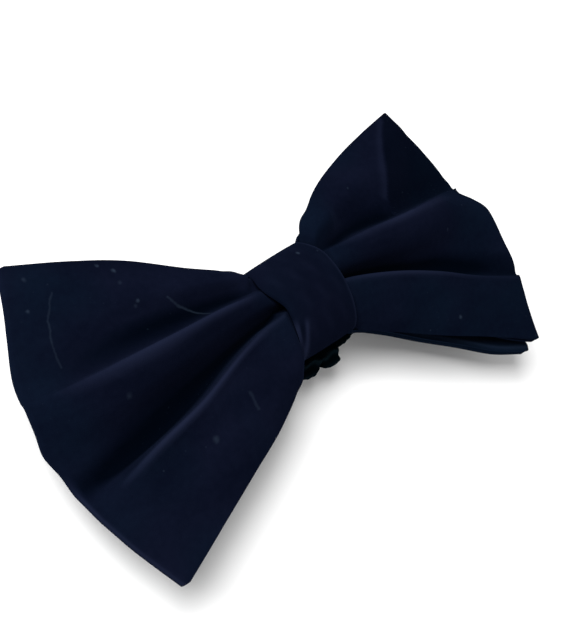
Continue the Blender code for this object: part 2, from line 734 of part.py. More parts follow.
def make_spring():
    """The torsion spring round the pin, with a leg on each finger tab."""
    radius = SPRING_MEAN_DIAMETER / 2
    reach = SPRING_TURNS * SPRING_PITCH / 2
    gap = SPRING_WIRE / 2 + CLEARANCE
    top_angle = math.radians(TAB_ANGLE)
    # The upper leg leaves the coil's top and runs under the top tab, the lower one over the bottom tab.
    end_x = PIN_X + SPRING_LEG
    under_tab = TOP_JAW_Z + max(0.0, end_x - TAB_BEND_X) * math.tan(top_angle) - gap
    over_tab = UNDER_PIN_Z - (UNDER_PIN_Z - PLATE) * max(
        0.0, (end_x - PIN_X - EAR_HALF_BASE) / (TAB_END_X - TAB_FLAT - PIN_X - EAR_HALF_BASE)
    )
    over_tab += gap
    start_angle, end_angle = math.radians(90), math.radians(-90)
    turns = SPRING_TURNS + (end_angle - start_angle) / (2 * math.pi)
    count = round(turns * SPRING_STEPS)
    points = [(end_x, reach, under_tab)]
    for step in range(count + 1):
        # From the top of the coil, round by the tip side, to its bottom.
        angle = start_angle + 2 * math.pi * turns * step / count
        y = reach - 2 * reach * step / count
        points.append((PIN_X + radius * math.cos(angle), y, PIN_Z + radius * math.sin(angle)))
    points.append((end_x, -reach, over_tab))
    wire("torsion_spring", points, SPRING_WIRE, SPRING_STEEL)
    print_gap("torsion_spring", points[1:-1], SPRING_STEPS, SPRING_WIRE)


clear_scene()
PARTS = collection("hair_bow")
TOOLS = collection("tools")
hinge_point = bpy.data.objects.new("jaw_hinge", None)
PARTS.objects.link(hinge_point)
hinge_point.location = (PIN_X, 0.0, PIN_Z)
bpy.context.view_layer.update()

make_front_bow()
make_rear_bow()
make_knot_wrap()
make_gather_thread()
make_back_pad()
make_top_jaw()
make_lining()
make_bottom_jaw(hinge_point)
make_pin(hinge_point)
make_spring()
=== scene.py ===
import math

import bpy
import numpy as np
from mathutils import Matrix, Vector, noise


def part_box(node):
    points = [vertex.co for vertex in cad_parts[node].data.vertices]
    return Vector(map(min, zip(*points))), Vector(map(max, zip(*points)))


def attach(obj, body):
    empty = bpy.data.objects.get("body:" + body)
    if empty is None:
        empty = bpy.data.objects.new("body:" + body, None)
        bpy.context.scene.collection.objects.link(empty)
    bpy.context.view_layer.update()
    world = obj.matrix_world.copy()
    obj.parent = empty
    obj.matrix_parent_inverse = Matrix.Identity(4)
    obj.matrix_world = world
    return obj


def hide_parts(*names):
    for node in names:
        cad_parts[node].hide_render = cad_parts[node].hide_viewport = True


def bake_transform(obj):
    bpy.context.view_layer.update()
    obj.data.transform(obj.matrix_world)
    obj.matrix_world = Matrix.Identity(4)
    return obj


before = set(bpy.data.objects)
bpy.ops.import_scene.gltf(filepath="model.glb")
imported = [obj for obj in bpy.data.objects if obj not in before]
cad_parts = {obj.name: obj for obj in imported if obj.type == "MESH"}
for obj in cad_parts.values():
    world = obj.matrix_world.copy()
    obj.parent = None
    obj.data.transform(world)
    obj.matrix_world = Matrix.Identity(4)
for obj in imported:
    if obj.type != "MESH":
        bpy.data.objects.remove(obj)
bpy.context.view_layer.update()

mm = 0.001


# small helpers

def deselectAll():
    for item in bpy.context.selected_objects:
        item.select_set(False)


def activate(item):
    deselectAll()
    item.select_set(True)
    bpy.context.view_layer.objects.active = item


def applyModifiers(item):
    activate(item)
    for step in list(item.modifiers):
        bpy.ops.object.modifier_apply(modifier=step.name)


def shadeSmooth(item, angle=45.0):
    activate(item)
    bpy.ops.object.shade_smooth_by_angle(angle=math.radians(angle))


# rises smoothly from 0 to 1, from the start over the width
def eased(value, start=0.0, width=1.0):
    value = np.clip((value - start) / width, 0.0, 1.0)
    return value * value * (3.0 - 2.0 * value)


def bell(value, centre, width):
    return np.exp(-(((value - centre) / width) ** 2))


# smooth curve through the values at the knots, read at many places at once;
# a steady one never overshoots a knot
def throughPoints(knots, values, at, steady=False):
    knots = np.asarray(knots, float)
    values = np.asarray(values, float)
    shape = (-1,) + (1,) * (values.ndim - 1)
    spans = np.diff(knots)
    wide = spans.reshape(shape)
    rises = np.diff(values, axis=0) / wide
    slopes = np.empty_like(values)
    slopes[0], slopes[-1] = rises[0], rises[-1]
    slopes[1:-1] = (rises[:-1] * wide[1:] + rises[1:] * wide[:-1]) / (wide[:-1] + wide[1:])
    if steady:
        steepest = 2.2 * np.minimum(np.abs(rises[:-1]), np.abs(rises[1:]))
        slopes[1:-1] = np.clip(slopes[1:-1], -steepest, steepest) * (rises[:-1] * rises[1:] > 0)
    at = np.asarray(at, float)
    index = np.clip(np.searchsorted(knots, at, side="right") - 1, 0, len(knots) - 2)
    span = spans[index].reshape(shape)
    t = ((at - knots[index]) / spans[index]).reshape(shape)
    low, high = values[index], values[index + 1]
    return (
        low * (2 * t**3 - 3 * t**2 + 1)
        + slopes[index] * span * (t**3 - 2 * t**2 + t)
        + high * (3 * t**2 - 2 * t**3)
        + slopes[index + 1] * span * (t**3 - t**2)
    )


# the lower of two heights, with the change between them rounded
def softMin(a, b, blend):
    h = np.clip(0.5 + 0.5 * (b - a) / blend, 0.0, 1.0)
    return b * (1 - h) + a * h - blend * h * (1 - h)


# a skin over a grid of points (rows, columns, 3) in mm, closed along the columns, with a UV map
# in metres and, for velvet, painted light at each point: 1 is a painted highlight, -1 painted shade
def clothFromGrid(name, grid, finish, closed=True, flip=False, napAndPaintedLight=None):
    rows, columns = grid.shape[:2]
    points = (grid * mm).reshape(-1, 3)
    last = columns if closed else columns - 1
    i, j = np.meshgrid(np.arange(rows - 1), np.arange(last), indexing="ij")
    i, j = i.ravel(), j.ravel()
    k = (j + 1) % columns
    upper, lower = i * columns, (i + 1) * columns
    faces = np.stack([upper + j, lower + j, lower + k, upper + k], axis=1)
    if flip:
        faces = faces[:, ::-1]
    mesh = bpy.data.meshes.new(name)
    mesh.from_pydata(points.tolist(), [], faces.tolist())
    mesh.materials.append(finish)
    ringStep = np.linalg.norm(np.diff(grid, axis=1, append=grid[:, :1]), axis=2).mean(axis=0)
    along = np.concatenate([[0.0], np.cumsum(ringStep)])
    rowStep = np.linalg.norm(np.diff(grid, axis=0), axis=2).mean(axis=1)
    across = np.concatenate([[0.0], np.cumsum(rowStep)])
    u = np.stack([along[j], along[j], along[j + 1], along[j + 1]], axis=1)
    v = np.stack([across[i], across[i + 1], across[i + 1], across[i]], axis=1)
    if flip:
        u, v = u[:, ::-1], v[:, ::-1]
    layer = mesh.uv_layers.new(name="cloth")
    layer.data.foreach_set("uv", (np.stack([u, v], axis=2) * mm).ravel())
    if napAndPaintedLight is not None:
        mesh.attributes.new("napAndPaintedLight", "FLOAT", "POINT").data.foreach_set("value", napAndPaintedLight.ravel())
    piece = bpy.data.objects.new(name, mesh)
    bpy.context.scene.collection.objects.link(piece)
    return piece


# cloth or ribbon with a thickness inwards of the skin and rounded cut edges, in mm
def giveWall(piece, thickness, rimRound, rimSteps=3, rimAngle=62, smoothAngle=50):
    wall = piece.modifiers.new("wall", "SOLIDIFY")
    wall.thickness = thickness * mm
    wall.offset = -1.0
    rim = piece.modifiers.new("rim", "BEVEL")
    rim.width = rimRound * mm
    rim.segments = rimSteps
    rim.limit_method = "ANGLE"
    rim.angle_limit = math.radians(rimAngle)
    applyModifiers(piece)
    shadeSmooth(piece, smoothAngle)


# joins points that lie together, in m, and turns the faces outwards
def weld(piece, distance):
    activate(piece)
    bpy.ops.object.mode_set(mode="EDIT")
    bpy.ops.mesh.select_all(action="SELECT")
    bpy.ops.mesh.remove_doubles(threshold=distance)
    bpy.ops.mesh.normals_make_consistent(inside=False)
    bpy.ops.object.mode_set(mode="OBJECT")


# round strands along paths of points in mm
def wirePiece(name, paths, diameter, finish, resolution):
    curve = bpy.data.curves.new(name, "CURVE")
    curve.dimensions = "3D"
    curve.bevel_depth = diameter / 2 * mm
    curve.bevel_resolution = resolution
    curve.use_fill_caps = True
    for places in paths:
        spline = curve.splines.new("POLY")
        spline.points.add(len(places) - 1)
        for point, place in zip(spline.points, places):
            point.co = (*(c * mm for c in place), 1.0)
    piece = bpy.data.objects.new(name, curve)
    bpy.context.scene.collection.objects.link(piece)
    activate(piece)
    bpy.ops.object.convert(target="MESH")
    piece = bpy.context.object
    piece.data.materials.append(finish)
    weld(piece, 0.00001)
    shadeSmooth(piece)
    return piece


# finishes

# each socket, by its name or number, takes another node's output or a fixed value
def feed(tree, node, sockets):
    for label, value in sockets.items():
        if isinstance(value, bpy.types.NodeSocket):
            tree.links.new(value, node.inputs[label])
        else:
            node.inputs[label].default_value = value
    return node


def addNode(tree, kind, sockets, **settings):
    node = tree.nodes.new(kind)
    for name, value in settings.items():
        setattr(node, name, value)
    return feed(tree, node, sockets)


def newGroup(name, inputs, outputs):
    group = bpy.data.node_groups.new(name, "ShaderNodeTree")
    for way, sockets in (("INPUT", inputs), ("OUTPUT", outputs)):
        for label, kind in sockets.items():
            group.interface.new_socket(name=label, in_out=way, socket_type="NodeSocket" + kind)
    return group, group.nodes.new("NodeGroupInput").outputs, group.nodes.new("NodeGroupOutput")


def objectPlace(tree):
    return addNode(tree, "ShaderNodeTexCoord", {}).outputs["Object"]


def noiseNode(tree, place, scale, detail=2.0, output=0):
    sockets = {"Vector": place, "Scale": scale, "Detail": detail}
    return addNode(tree, "ShaderNodeTexNoise", sockets).outputs[output]


def stretched(tree, place, scale):
    return addNode(tree, "ShaderNodeMapping", {"Vector": place, "Scale": scale}).outputs[0]


# goes from least to 1 while the value goes from start to end
def rampNode(tree, value, start, end, least=0.0):
    sockets = {"Value": value, "From Min": start, "From Max": end, "To Min": least}
    return addNode(tree, "ShaderNodeMapRange", sockets).outputs[0]


def clampNode(tree, value):
    return addNode(tree, "ShaderNodeClamp", {"Value": value}).outputs[0]


def mathNode(tree, operation, *values):
    return addNode(tree, "ShaderNodeMath", dict(enumerate(values)), operation=operation).outputs[0]


def vectorMath(tree, operation, *values, output=0):
    sockets = dict(enumerate(values))
    return addNode(tree, "ShaderNodeVectorMath", sockets, operation=operation).outputs[output]


def mixColour(tree, factor, a, b):
    return addNode(tree, "ShaderNodeMix", {0: factor, 6: a, 7: b}, data_type="RGBA").outputs[2]


def bumpFrom(tree, height, strength, distance):
    sockets = {"Height": height, "Strength": strength, "Distance": distance * mm}
    return addNode(tree, "ShaderNodeBump", sockets).outputs[0]


# noise scales are per metre
nap = {
    "brushStretch": (0.6, 1.3, 1.0),
    "brush": (75.0, 0.62),  # scale and share in the lay
    "mottle": (620.0, 0.24),
    "pile": (4200.0, 0.14),
    "mottleHeight": 0.35,
    "contrast": 2.2,
    "driftScale": 26.0,
    "driftRange": (0.46, 0.60),
}


# cut pile: colour that shifts with the lay of the nap, and its fine height
def makeNapGroup():
    group, given, out = newGroup(
        "velvetNap",
        {"Deep": "Color", "Lit": "Color", "Drift": "Color", "Brush": "Float"},
        {"Color": "Color", "Height": "Float"},
    )
    place = objectPlace(group)
    brushed = noiseNode(group, stretched(group, place, nap["brushStretch"]), nap["brush"][0], 3.0)
    mottled = noiseNode(group, place, nap["mottle"][0])
    pile = noiseNode(group, place, nap["pile"][0])
    napAndPaintedLight = mathNode(group, "MULTIPLY", brushed, nap["brush"][1])
    napAndPaintedLight = mathNode(group, "MULTIPLY_ADD", mottled, nap["mottle"][1], napAndPaintedLight)
    napAndPaintedLight = mathNode(group, "MULTIPLY_ADD", pile, nap["pile"][1], napAndPaintedLight)
    napAndPaintedLight = mathNode(group, "SUBTRACT", napAndPaintedLight, 0.5)
    napAndPaintedLight = mathNode(group, "MULTIPLY", napAndPaintedLight, given["Brush"])
    napAndPaintedLight = clampNode(group, mathNode(group, "MULTIPLY_ADD", napAndPaintedLight, nap["contrast"], 0.5))
    drift = rampNode(group, noiseNode(group, place, nap["driftScale"], 1.0), *nap["driftRange"])
    lit = mixColour(group, drift, given["Lit"], given["Drift"])
    rough = mathNode(group, "MULTIPLY_ADD", mottled, nap["mottleHeight"], pile)
    feed(group, out, {"Color": mixColour(group, napAndPaintedLight, given["Deep"], lit), "Height": rough})
    return group


lint = {
    "large": (115.0, 0.075, 0.90),  # cells per metre, radius in cells, share of cells left empty
    "fine": (420.0, 0.13, 0.72),
    "dust": (900.0, 0.20, 0.70),
    "dustShare": 0.35,
    "core": 0.2,  # share of the radius at full strength
    "faintest": 0.3,
    "crowdScale": 48.0,
    "crowdRange": (0.46, 0.66),
    "rightRange": (-0.02, 0.03, 0.35),  # m across the bow, and the share left of that
    "curlScale": 520.0,
    "curl": 0.0009,  # how far a fibre strays from its line, in m
}


# pale lint: sparse round specks of three sizes
def makeLintGroup():
    group, given, out = newGroup("lintSpecks", {"Large": "Float", "Fine": "Float"}, {"Mask": "Float"})
    place = objectPlace(group)

    def specks(size, share):
        scale, radius, empty = lint[size]
        cells = addNode(group, "ShaderNodeTexVoronoi", {"Vector": place, "Scale": scale}).outputs
        parts = addNode(group, "ShaderNodeSeparateColor", {"Color": cells["Color"]}).outputs
        inside = rampNode(group, cells["Distance"], radius, radius * lint["core"])
        some = mathNode(group, "GREATER_THAN", parts[0], empty)
        depth = mathNode(group, "MULTIPLY_ADD", parts[1], 1 - lint["faintest"], lint["faintest"])
        mask = mathNode(group, "MULTIPLY", mathNode(group, "MULTIPLY", inside, some), depth)
        return mathNode(group, "MULTIPLY", mask, share)

    large = specks("large", given["Large"])
    fine = specks("fine", given["Fine"])
    dust = specks("dust", given["Fine"])
    crowd = rampNode(group, noiseNode(group, place, lint["crowdScale"]), *lint["crowdRange"])
    small = mathNode(group, "MULTIPLY_ADD", dust, lint["dustShare"], fine)
    small = mathNode(group, "MULTIPLY", small, crowd)
    across = addNode(group, "ShaderNodeSeparateXYZ", {"Vector": place}).outputs[0]
    small = mathNode(group, "MULTIPLY", small, rampNode(group, across, *lint["rightRange"]))
    feed(group, out, {"Mask": mathNode(group, "MAXIMUM", large, small)})
    return group


# one bit of lint or a loose fibre on the front, from Start to End across the bow
def makeMarkGroup():
    group, given, out = newGroup(
        "lintMark",
        {"Start": "Vector", "End": "Vector", "Radius": "Float", "Strength": "Float", "Lowest": "Float"},
        {"Mask": "Float"},
    )
    place = objectPlace(group)
    curl = noiseNode(group, place, lint["curlScale"], output="Color")
    shift = vectorMath(group, "SUBTRACT", curl, (0.5, 0.5, 0.5))
    shift = vectorMath(group, "MULTIPLY", shift, (lint["curl"],) * 3)
    flat = vectorMath(group, "MULTIPLY", vectorMath(group, "ADD", place, shift), (1.0, 1.0, 0.0))
    fromStart = vectorMath(group, "SUBTRACT", flat, given["Start"])
    run = vectorMath(group, "SUBTRACT", given["End"], given["Start"])
    along = vectorMath(group, "DOT_PRODUCT", fromStart, run, output="Value")
    whole = mathNode(group, "MAXIMUM", vectorMath(group, "DOT_PRODUCT", run, run, output="Value"), 1e-12)
    share = clampNode(group, mathNode(group, "DIVIDE", along, whole))
    off = vectorMath(group, "SUBTRACT", fromStart, vectorMath(group, "MULTIPLY", run, share))
    away = vectorMath(group, "LENGTH", off, output="Value")
    sockets = {"Value": away, "From Min": given["Radius"], "From Max": 0.0}
    inside = addNode(group, "ShaderNodeMapRange", sockets, interpolation_type="SMOOTHSTEP").outputs[0]
    level = addNode(group, "ShaderNodeSeparateXYZ", {"Vector": place}).outputs[2]
    onFront = mathNode(group, "GREATER_THAN", level, given["Lowest"])
    mask = mathNode(group, "MULTIPLY", inside, onFront)
    feed(group, out, {"Mask": mathNode(group, "MULTIPLY", mask, given["Strength"])})
    return group


metal = {
    "lineStretch": (0.08, 1.0, 1.0),
    "lineScale": 5200.0,
    "lineRoughness": 0.12,
    "patchScale": 260.0,
    "patchRange": (0.35, 0.7),
}


# fine drawn scratches and dull patches of handled metal
def makeMetalGroup():
    group, given, out = newGroup(
        "handledMetal",
        {"Dull": "Float", "Bright": "Float"},
        {"Roughness": "Float", "Tone": "Float", "Height": "Float"},
    )
    place = objectPlace(group)
    lines = noiseNode(group, stretched(group, place, metal["lineStretch"]), metal["lineScale"], 3.0)
    patches = noiseNode(group, place, metal["patchScale"], 4.0)
    start, end = metal["patchRange"]
    sockets = {"Value": patches, "From Min": start, "From Max": end}
    sockets |= {"To Min": given["Bright"], "To Max": given["Dull"]}
    spread = addNode(group, "ShaderNodeMapRange", sockets).outputs[0]
    rough = mathNode(group, "MULTIPLY_ADD", lines, metal["lineRoughness"], spread)
    feed(group, out, {"Roughness": rough, "Tone": patches, "Height": lines})
    return group


napGroup = makeNapGroup()
lintGroup = makeLintGroup()
markGroup = makeMarkGroup()
metalGroup = makeMetalGroup()


def newMaterial(name):
    material = bpy.data.materials.new(name)
    material.use_nodes = True
    tree = material.node_tree
    return material, tree, tree.nodes["Principled BSDF"]


velvetLook = {
    "deep": (0.0014, 0.0022, 0.0064, 1),
    "lit": (0.0034, 0.0047, 0.0124, 1),
    "drift": (0.0023, 0.0051, 0.0120, 1),
    # crest is the colour of the painted highlight, hollow that of the painted shade
    "crest": (0.0110, 0.0145, 0.0335, 1),
    "hollow": (0.0001, 0.0007, 0.0019, 1),
    "lint": (0.026, 0.039, 0.062, 1),
    "sheen": {"Sheen Weight": 0.04, "Sheen Roughness": 0.40, "Sheen Tint": (0.12, 0.19, 0.44, 1)},
}

# a lighter, more teal copy of the velvet: painted light on the rear bow
rearLitLook = velvetLook | {
    "deep": (0.0014, 0.0034, 0.0086, 1),
    "lit": (0.0030, 0.0066, 0.0155, 1),
    "drift": (0.0030, 0.0070, 0.0155, 1),
    "crest": (0.0095, 0.0170, 0.0350, 1),
    "hollow": (0.0002, 0.0009, 0.0024, 1),
}

# a darker copy of the velvet: painted shade over the knot wrap
knotShadedLook = velvetLook | {
    "deep": (0.0013, 0.0019, 0.0056, 1),
    "lit": (0.0029, 0.0040, 0.0106, 1),
    "drift": (0.0020, 0.0043, 0.0100, 1),
}

# a darker, more teal copy of the velvet: painted shade on the pad under the bow; crest is its painted
# highlight colour, hollow its painted shade colour
padShadedLook = {
    "deep": (0.0004, 0.0012, 0.0020, 1),
    "lit": (0.0010, 0.0028, 0.0046, 1),
    "drift": (0.0008, 0.0030, 0.0044, 1),
    "crest": (0.0040, 0.0100, 0.0140, 1),
    "hollow": (0.0001, 0.0003, 0.0005, 1),
    "lint": (0.03, 0.045, 0.06, 1),
    "sheen": {"Sheen Weight": 0.06, "Sheen Roughness": 0.35, "Sheen Tint": (0.10, 0.19, 0.28, 1)},
}

# lint on the front: place in mm, radius in mm, strength
frontSpecks = (
    (-46.3, 31.9, 0.65, 0.8), (-43.4, 29.1, 0.85, 1.0), (-43.9, 25.8, 0.80, 0.35),
    (-42.5, 20.2, 0.75, 0.8), (-63.9, 35.5, 0.80, 0.5), (-67.0, 28.6, 0.75, 0.7),
    (-57.8, 1.4, 1.10, 0.35), (-44.8, -16.8, 1.30, 0.55), (44.1, -22.8, 0.80, 0.9),
    (25.8, -19.6, 0.70, 0.6), (68.4, -38.8, 0.60, 0.5), (54.7, 0.1, 0.60, 0.5),
    (33.4, 23.5, 0.55, 0.5),
)
knotSpecks = ((3.4, 13.0, 0.70, 0.9), (8.6, 11.2, 0.50, 0.4))
# loose fibres and scuffs: start, end, radius, strength
frontFibres = (
    ((-35.3, 17.9), (-33.1, 15.0), 0.40, 0.45),
    ((-33.1, 15.0), (-31.1, 13.3), 0.60, 0.55),
    ((-31.1, 13.3), (-27.8, 9.8), 0.50, 0.50),
    ((-60.0, 30.4), (-64.1, 24.8), 0.40, 0.28),
    ((-64.1, 24.8), (-65.8, 20.0), 0.45, 0.35),
    ((-65.8, 20.0), (-66.8, 14.3), 0.40, 0.25),
    ((-31.0, -11.5), (-30.7, -15.7), 0.70, 0.30),
)
markShare = 0.42
markLevel = 0.0178  # marks lie above this height, on the front cloth alone


def velvetMaterial(name, brush=1.0, large=0.5, fine=0.5, look=velvetLook, specks=(), fibres=()):
    material, tree, shader = newMaterial(name)
    sockets = {"Deep": look["deep"], "Lit": look["lit"], "Drift": look["drift"], "Brush": brush}
    pile = addNode(tree, "ShaderNodeGroup", sockets, node_tree=napGroup).outputs
    # painted light: the attribute mixes in the crest colour as a painted highlight and the hollow colour as
    # painted shade
    napAndPaintedLight = addNode(tree, "ShaderNodeAttribute", {}, attribute_name="napAndPaintedLight").outputs["Fac"]
    paintedShade = clampNode(tree, mathNode(tree, "MULTIPLY", napAndPaintedLight, -1.0))
    colour = mixColour(tree, clampNode(tree, napAndPaintedLight), pile["Color"], look["crest"])
    colour = mixColour(tree, paintedShade, colour, look["hollow"])
    sockets = {"Large": large, "Fine": fine}
    mask = addNode(tree, "ShaderNodeGroup", sockets, node_tree=lintGroup).outputs["Mask"]
    marks = tuple(((x, y), (x, y), radius, strength) for x, y, radius, strength in specks) + fibres
    for start, end, radius, strength in marks:
        sockets = {
            "Start": (start[0] * mm, start[1] * mm, 0),
            "End": (end[0] * mm, end[1] * mm, 0),
            "Radius": radius * mm,
            "Strength": strength * markShare,
            "Lowest": markLevel,
        }
        mark = addNode(tree, "ShaderNodeGroup", sockets, node_tree=markGroup).outputs[0]
        mask = mathNode(tree, "MAXIMUM", mask, mark)
    colour = mixColour(tree, mask, colour, look["lint"])
    bump = bumpFrom(tree, pile["Height"], 0.55, 0.12)
    surface = {"Base Color": colour, "Normal": bump, "Roughness": 0.92, "Specular IOR Level": 0.0}
    feed(tree, shader, surface | look["sheen"])
    return material


def metalMaterial(name, colour, dull, bright):
    material, tree, shader = newMaterial(name)
    sockets = {"Dull": dull, "Bright": bright}
    wearAndHighlight = addNode(tree, "ShaderNodeGroup", sockets, node_tree=metalGroup).outputs
    darker = tuple(c * 0.86 for c in colour[:3]) + (1,)
    tone = mixColour(tree, wearAndHighlight["Tone"], colour, darker)
    bump = bumpFrom(tree, wearAndHighlight["Height"], 0.12, 0.02)
    surface = {"Base Color": tone, "Roughness": wearAndHighlight["Roughness"], "Normal": bump, "Metallic": 1.0}
    feed(tree, shader, surface)
    return material


frontVelvet = velvetMaterial("frontVelvet", large=0.35, fine=0.7, specks=frontSpecks, fibres=frontFibres)
rearLitVelvet = velvetMaterial("rearLitVelvet", brush=0.9, large=0.2, fine=0.4, look=rearLitLook)
knotShadedVelvet = velvetMaterial("knotShadedVelvet", brush=0.6, large=0.1, fine=0.15, look=knotShadedLook, specks=knotSpecks)
padShadedVelvet = velvetMaterial("padShadedVelvet", brush=0.8, large=0.0, fine=0.15, look=padShadedLook)

ribbonLook = {
    "dark": (0.0040, 0.0048, 0.0070, 1),
    "light": (0.0110, 0.0125, 0.0170, 1),
    "scale": 900.0,
    "direction": "Y",
    "sheen": {"Sheen Weight": 0.20, "Sheen Roughness": 0.4, "Sheen Tint": (0.20, 0.22, 0.28, 1)},
}

threadLook = {
    "dark": (0.0040, 0.0070, 0.0180, 1),
    "light": (0.0130, 0.0190, 0.0420, 1),
    "scale": 1500.0,
    "direction": "DIAGONAL",
    "sheen": {"Sheen Weight": 0.15, "Sheen Roughness": 0.4, "Sheen Tint": (0.16, 0.22, 0.42, 1)},
}


# fine close threads: colour and height from waves along the piece
def wovenMaterial(name, look):
    material, tree, shader = newMaterial(name)
    place = objectPlace(tree)
    sockets = {"Vector": place, "Scale": look["scale"], "Distortion": 1.5, "Detail": 2.0}
    waves = addNode(tree, "ShaderNodeTexWave", sockets, bands_direction=look["direction"]).outputs["Fac"]
    fuzz = noiseNode(tree, place, 3800.0)
    mask = mathNode(tree, "MULTIPLY_ADD", fuzz, 0.5, mathNode(tree, "MULTIPLY", waves, 0.6))
    colour = mixColour(tree, mask, look["dark"], look["light"])
    bump = bumpFrom(tree, mask, 0.5, 0.05)
    surface = {"Base Color": colour, "Normal": bump, "Roughness": 0.75, "Specular IOR Level": 0.25}
    feed(tree, shader, surface | look["sheen"])
    return material


blackRibbon = wovenMaterial("blackRibbon", ribbonLook)
navyThread = wovenMaterial("navyThread", threadLook)
nickelPlate = metalMaterial("nickelPlate", (0.70, 0.69, 0.67, 1), 0.34, 0.16)
springWire = metalMaterial("springWire", (0.56, 0.56, 0.56, 1), 0.40, 0.22)
print("finishes made")


# In the pieces' values, a pair is where a change starts and over how much it runs, or its centre
# and width where the name ends in At. They are in mm, or shares of the way from the knot to the
# outer edge where the name ends in Along.
knot = {
    "width": 21.0,
    "height": 26.8,
    "middleY": 2.4,
    "middleZ": 3.1,
    "skew": 0.03,
    "taper": 0.05,
    "taperFrom": (6.0, 8.0),
    "front": 10.8,
    "back": 5.5,
    "frontPower": 1.8,
    "backPower": 4.0,
    "wall": 1.3,
    "cutRound": 0.3,
    "crown": 0.6,
    "rimRound": 0.8,
    "clear": 0.15,
    "topInset": 2.3,  # the right rim curls in over the top
    "insetFrom": (9.0, 7.0),
    "topFlare": 2.6,  # and the left one stands out there
    "flareFrom": (1.0, 8.0),
    "flareEnd": (10.0, 5.0),
    "creaseX": (-7.6, 0.3, -4.4),  # of the slack crease: x, its slope, and the y where it holds
    "shadeX": (-9.0, 0.3, -4.4),
    "creaseBelow": (2.0, 3.0),
    "creaseWidth": 0.9,
    "creaseHeight": 0.45,
    "pullHeight": 0.08,
    "rows": 56,
    "columns": 220,
}
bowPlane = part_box("knot_wrap")[0].z / mm + knot["back"]


# how far a rim of the wrap lies from a straight one: the band leans to the left towards the top
def rimCurl(y, side):
    if side > 0:
        return -knot["topInset"] * eased(y, *knot["insetFrom"])
    return -knot["topFlare"] * eased(y, *knot["flareFrom"]) * (1 - 0.5 * eased(y, *knot["flareEnd"]))


strip = {
    "cloth": 1.15,
    "cutRound": 0.38,
    "fold": 2.8,
    "foldPower": 0.55,
    "pinch": 0.72,
    "stations": (0.0, 0.018, 0.12, 0.25, 0.5, 0.75, 1.0),
    "crowding": 1.15,  # columns lie closer towards the knot
    "drift": 0.08,  # and rows towards the long edges
    "rimAlong": (0.0, 0.16),  # the mouth's curl fades out
    "mouthBack": -0.8,
    "backLevel": -1.6,
    "backAlong": (0.0, 0.09),
    "inset": 3.4,  # of the back ply's long edges
    "insetAlong": (0.0, 0.03),
    "outsetAlong": (0.6, 0.4),
    "settleAlong": (0.72, 0.28),  # the back ply takes up the front one's folds
    "riseAlong": (0.55, 0.45),  # and rises to the outer fold
    # painted highlight along the left fold, low down
    "highlightBelow": (6.0, 8.0),
    "highlightAt": (3.5, 1.5),  # columns of the fold
    "rows": 120,
    "frontColumns": 92,
    "backColumns": 30,
    "foldColumns": 9,
}

# Each row of folds is a fold line from the knot's mouth to the outer edge, from the top one down:
# its place across the bow and its height over the bow's plane at each station, in mm.
leftWing = {
    "side": -1,
    "edge": (
        (-40.0, 68.6), (-33.7, 71.4), (-26.5, 74.3), (-19.0, 76.7), (-12.0, 77.6), (-6.5, 78.6),
        (-0.7, 80.3), (3.5, 79.7), (9.5, 78.9), (15.3, 77.6), (24.8, 73.7), (31.2, 71.0), (40.1, 67.8),
    ),
    "folds": (
        (14.0, 3.2,  15.2, 4.4,  18.2, 4.0,  22.0, 3.6,  30.1, 3.2,  35.7, 3.0,  40.1, 3.0),
        (12.6, 5.8,  13.4, 7.0,  15.0, 6.6,  17.2, 6.0,  21.5, 5.2,  24.0, 4.0,  26.0, 2.4),
        (9.8, 6.0,  9.8, 6.0,  10.5, 4.4,  11.5, 3.4,  13.2, 3.4,  13.4, 3.2,  15.0, 2.6),
        (9.0, 7.2,  9.1, 7.8,  9.2, 7.0,  9.6, 6.2,  9.5, 6.2,  9.9, 5.4,  11.4, 3.4),
        (8.0, 8.0,  8.2, 9.6,  8.4, 10.0,  8.8, 10.3,  8.6, 10.2,  8.7, 8.6,  9.6, 4.4),
        (4.6, 8.2,  4.9, 8.8,  4.9, 8.4,  4.6, 8.0,  2.5, 7.4,  1.6, 6.4,  1.8, 4.2),
        (3.3, 6.0,  3.0, 5.4,  2.2, 4.4,  0.8, 3.4,  -2.0, 2.6,  -4.6, 2.4,  -5.5, 2.8),
        (2.6, 4.6,  1.8, 3.6,  0.3, 2.2,  -1.8, 1.2,  -6.9, 1.0,  -10.4, 1.0,  -11.4, 1.6),
        (1.8, 6.4,  1.2, 6.4,  0.1, 6.0,  -2.1, 5.6,  -7.6, 5.2,  -11.2, 4.4,  -14.6, 2.6),
        (0.9, 8.8,  0.6, 9.6,  -0.2, 9.7,  -2.3, 9.6,  -7.8, 9.3,  -11.8, 7.8,  -17.3, 3.6),
        (-1.2, 8.8,  -2.0, 9.8,  -3.2, 9.7,  -4.8, 9.3,  -10.8, 8.6,  -15.4, 7.0,  -20.6, 4.4),
        (-5.0, 7.8,  -6.6, 9.2,  -8.8, 8.8,  -11.5, 8.2,  -17.0, 7.2,  -22.0, 6.2,  -27.5, 4.8),
        (-7.9, 5.8,  -10.6, 7.8,  -13.8, 7.4,  -17.4, 6.8,  -22.8, 6.4,  -28.6, 5.8,  -34.5, 5.2),
        (-9.6, 2.6,  -13.0, 5.0,  -17.5, 5.0,  -21.8, 4.8,  -28.0, 5.0,  -34.0, 5.2,  -40.0, 5.4),
    ),
}

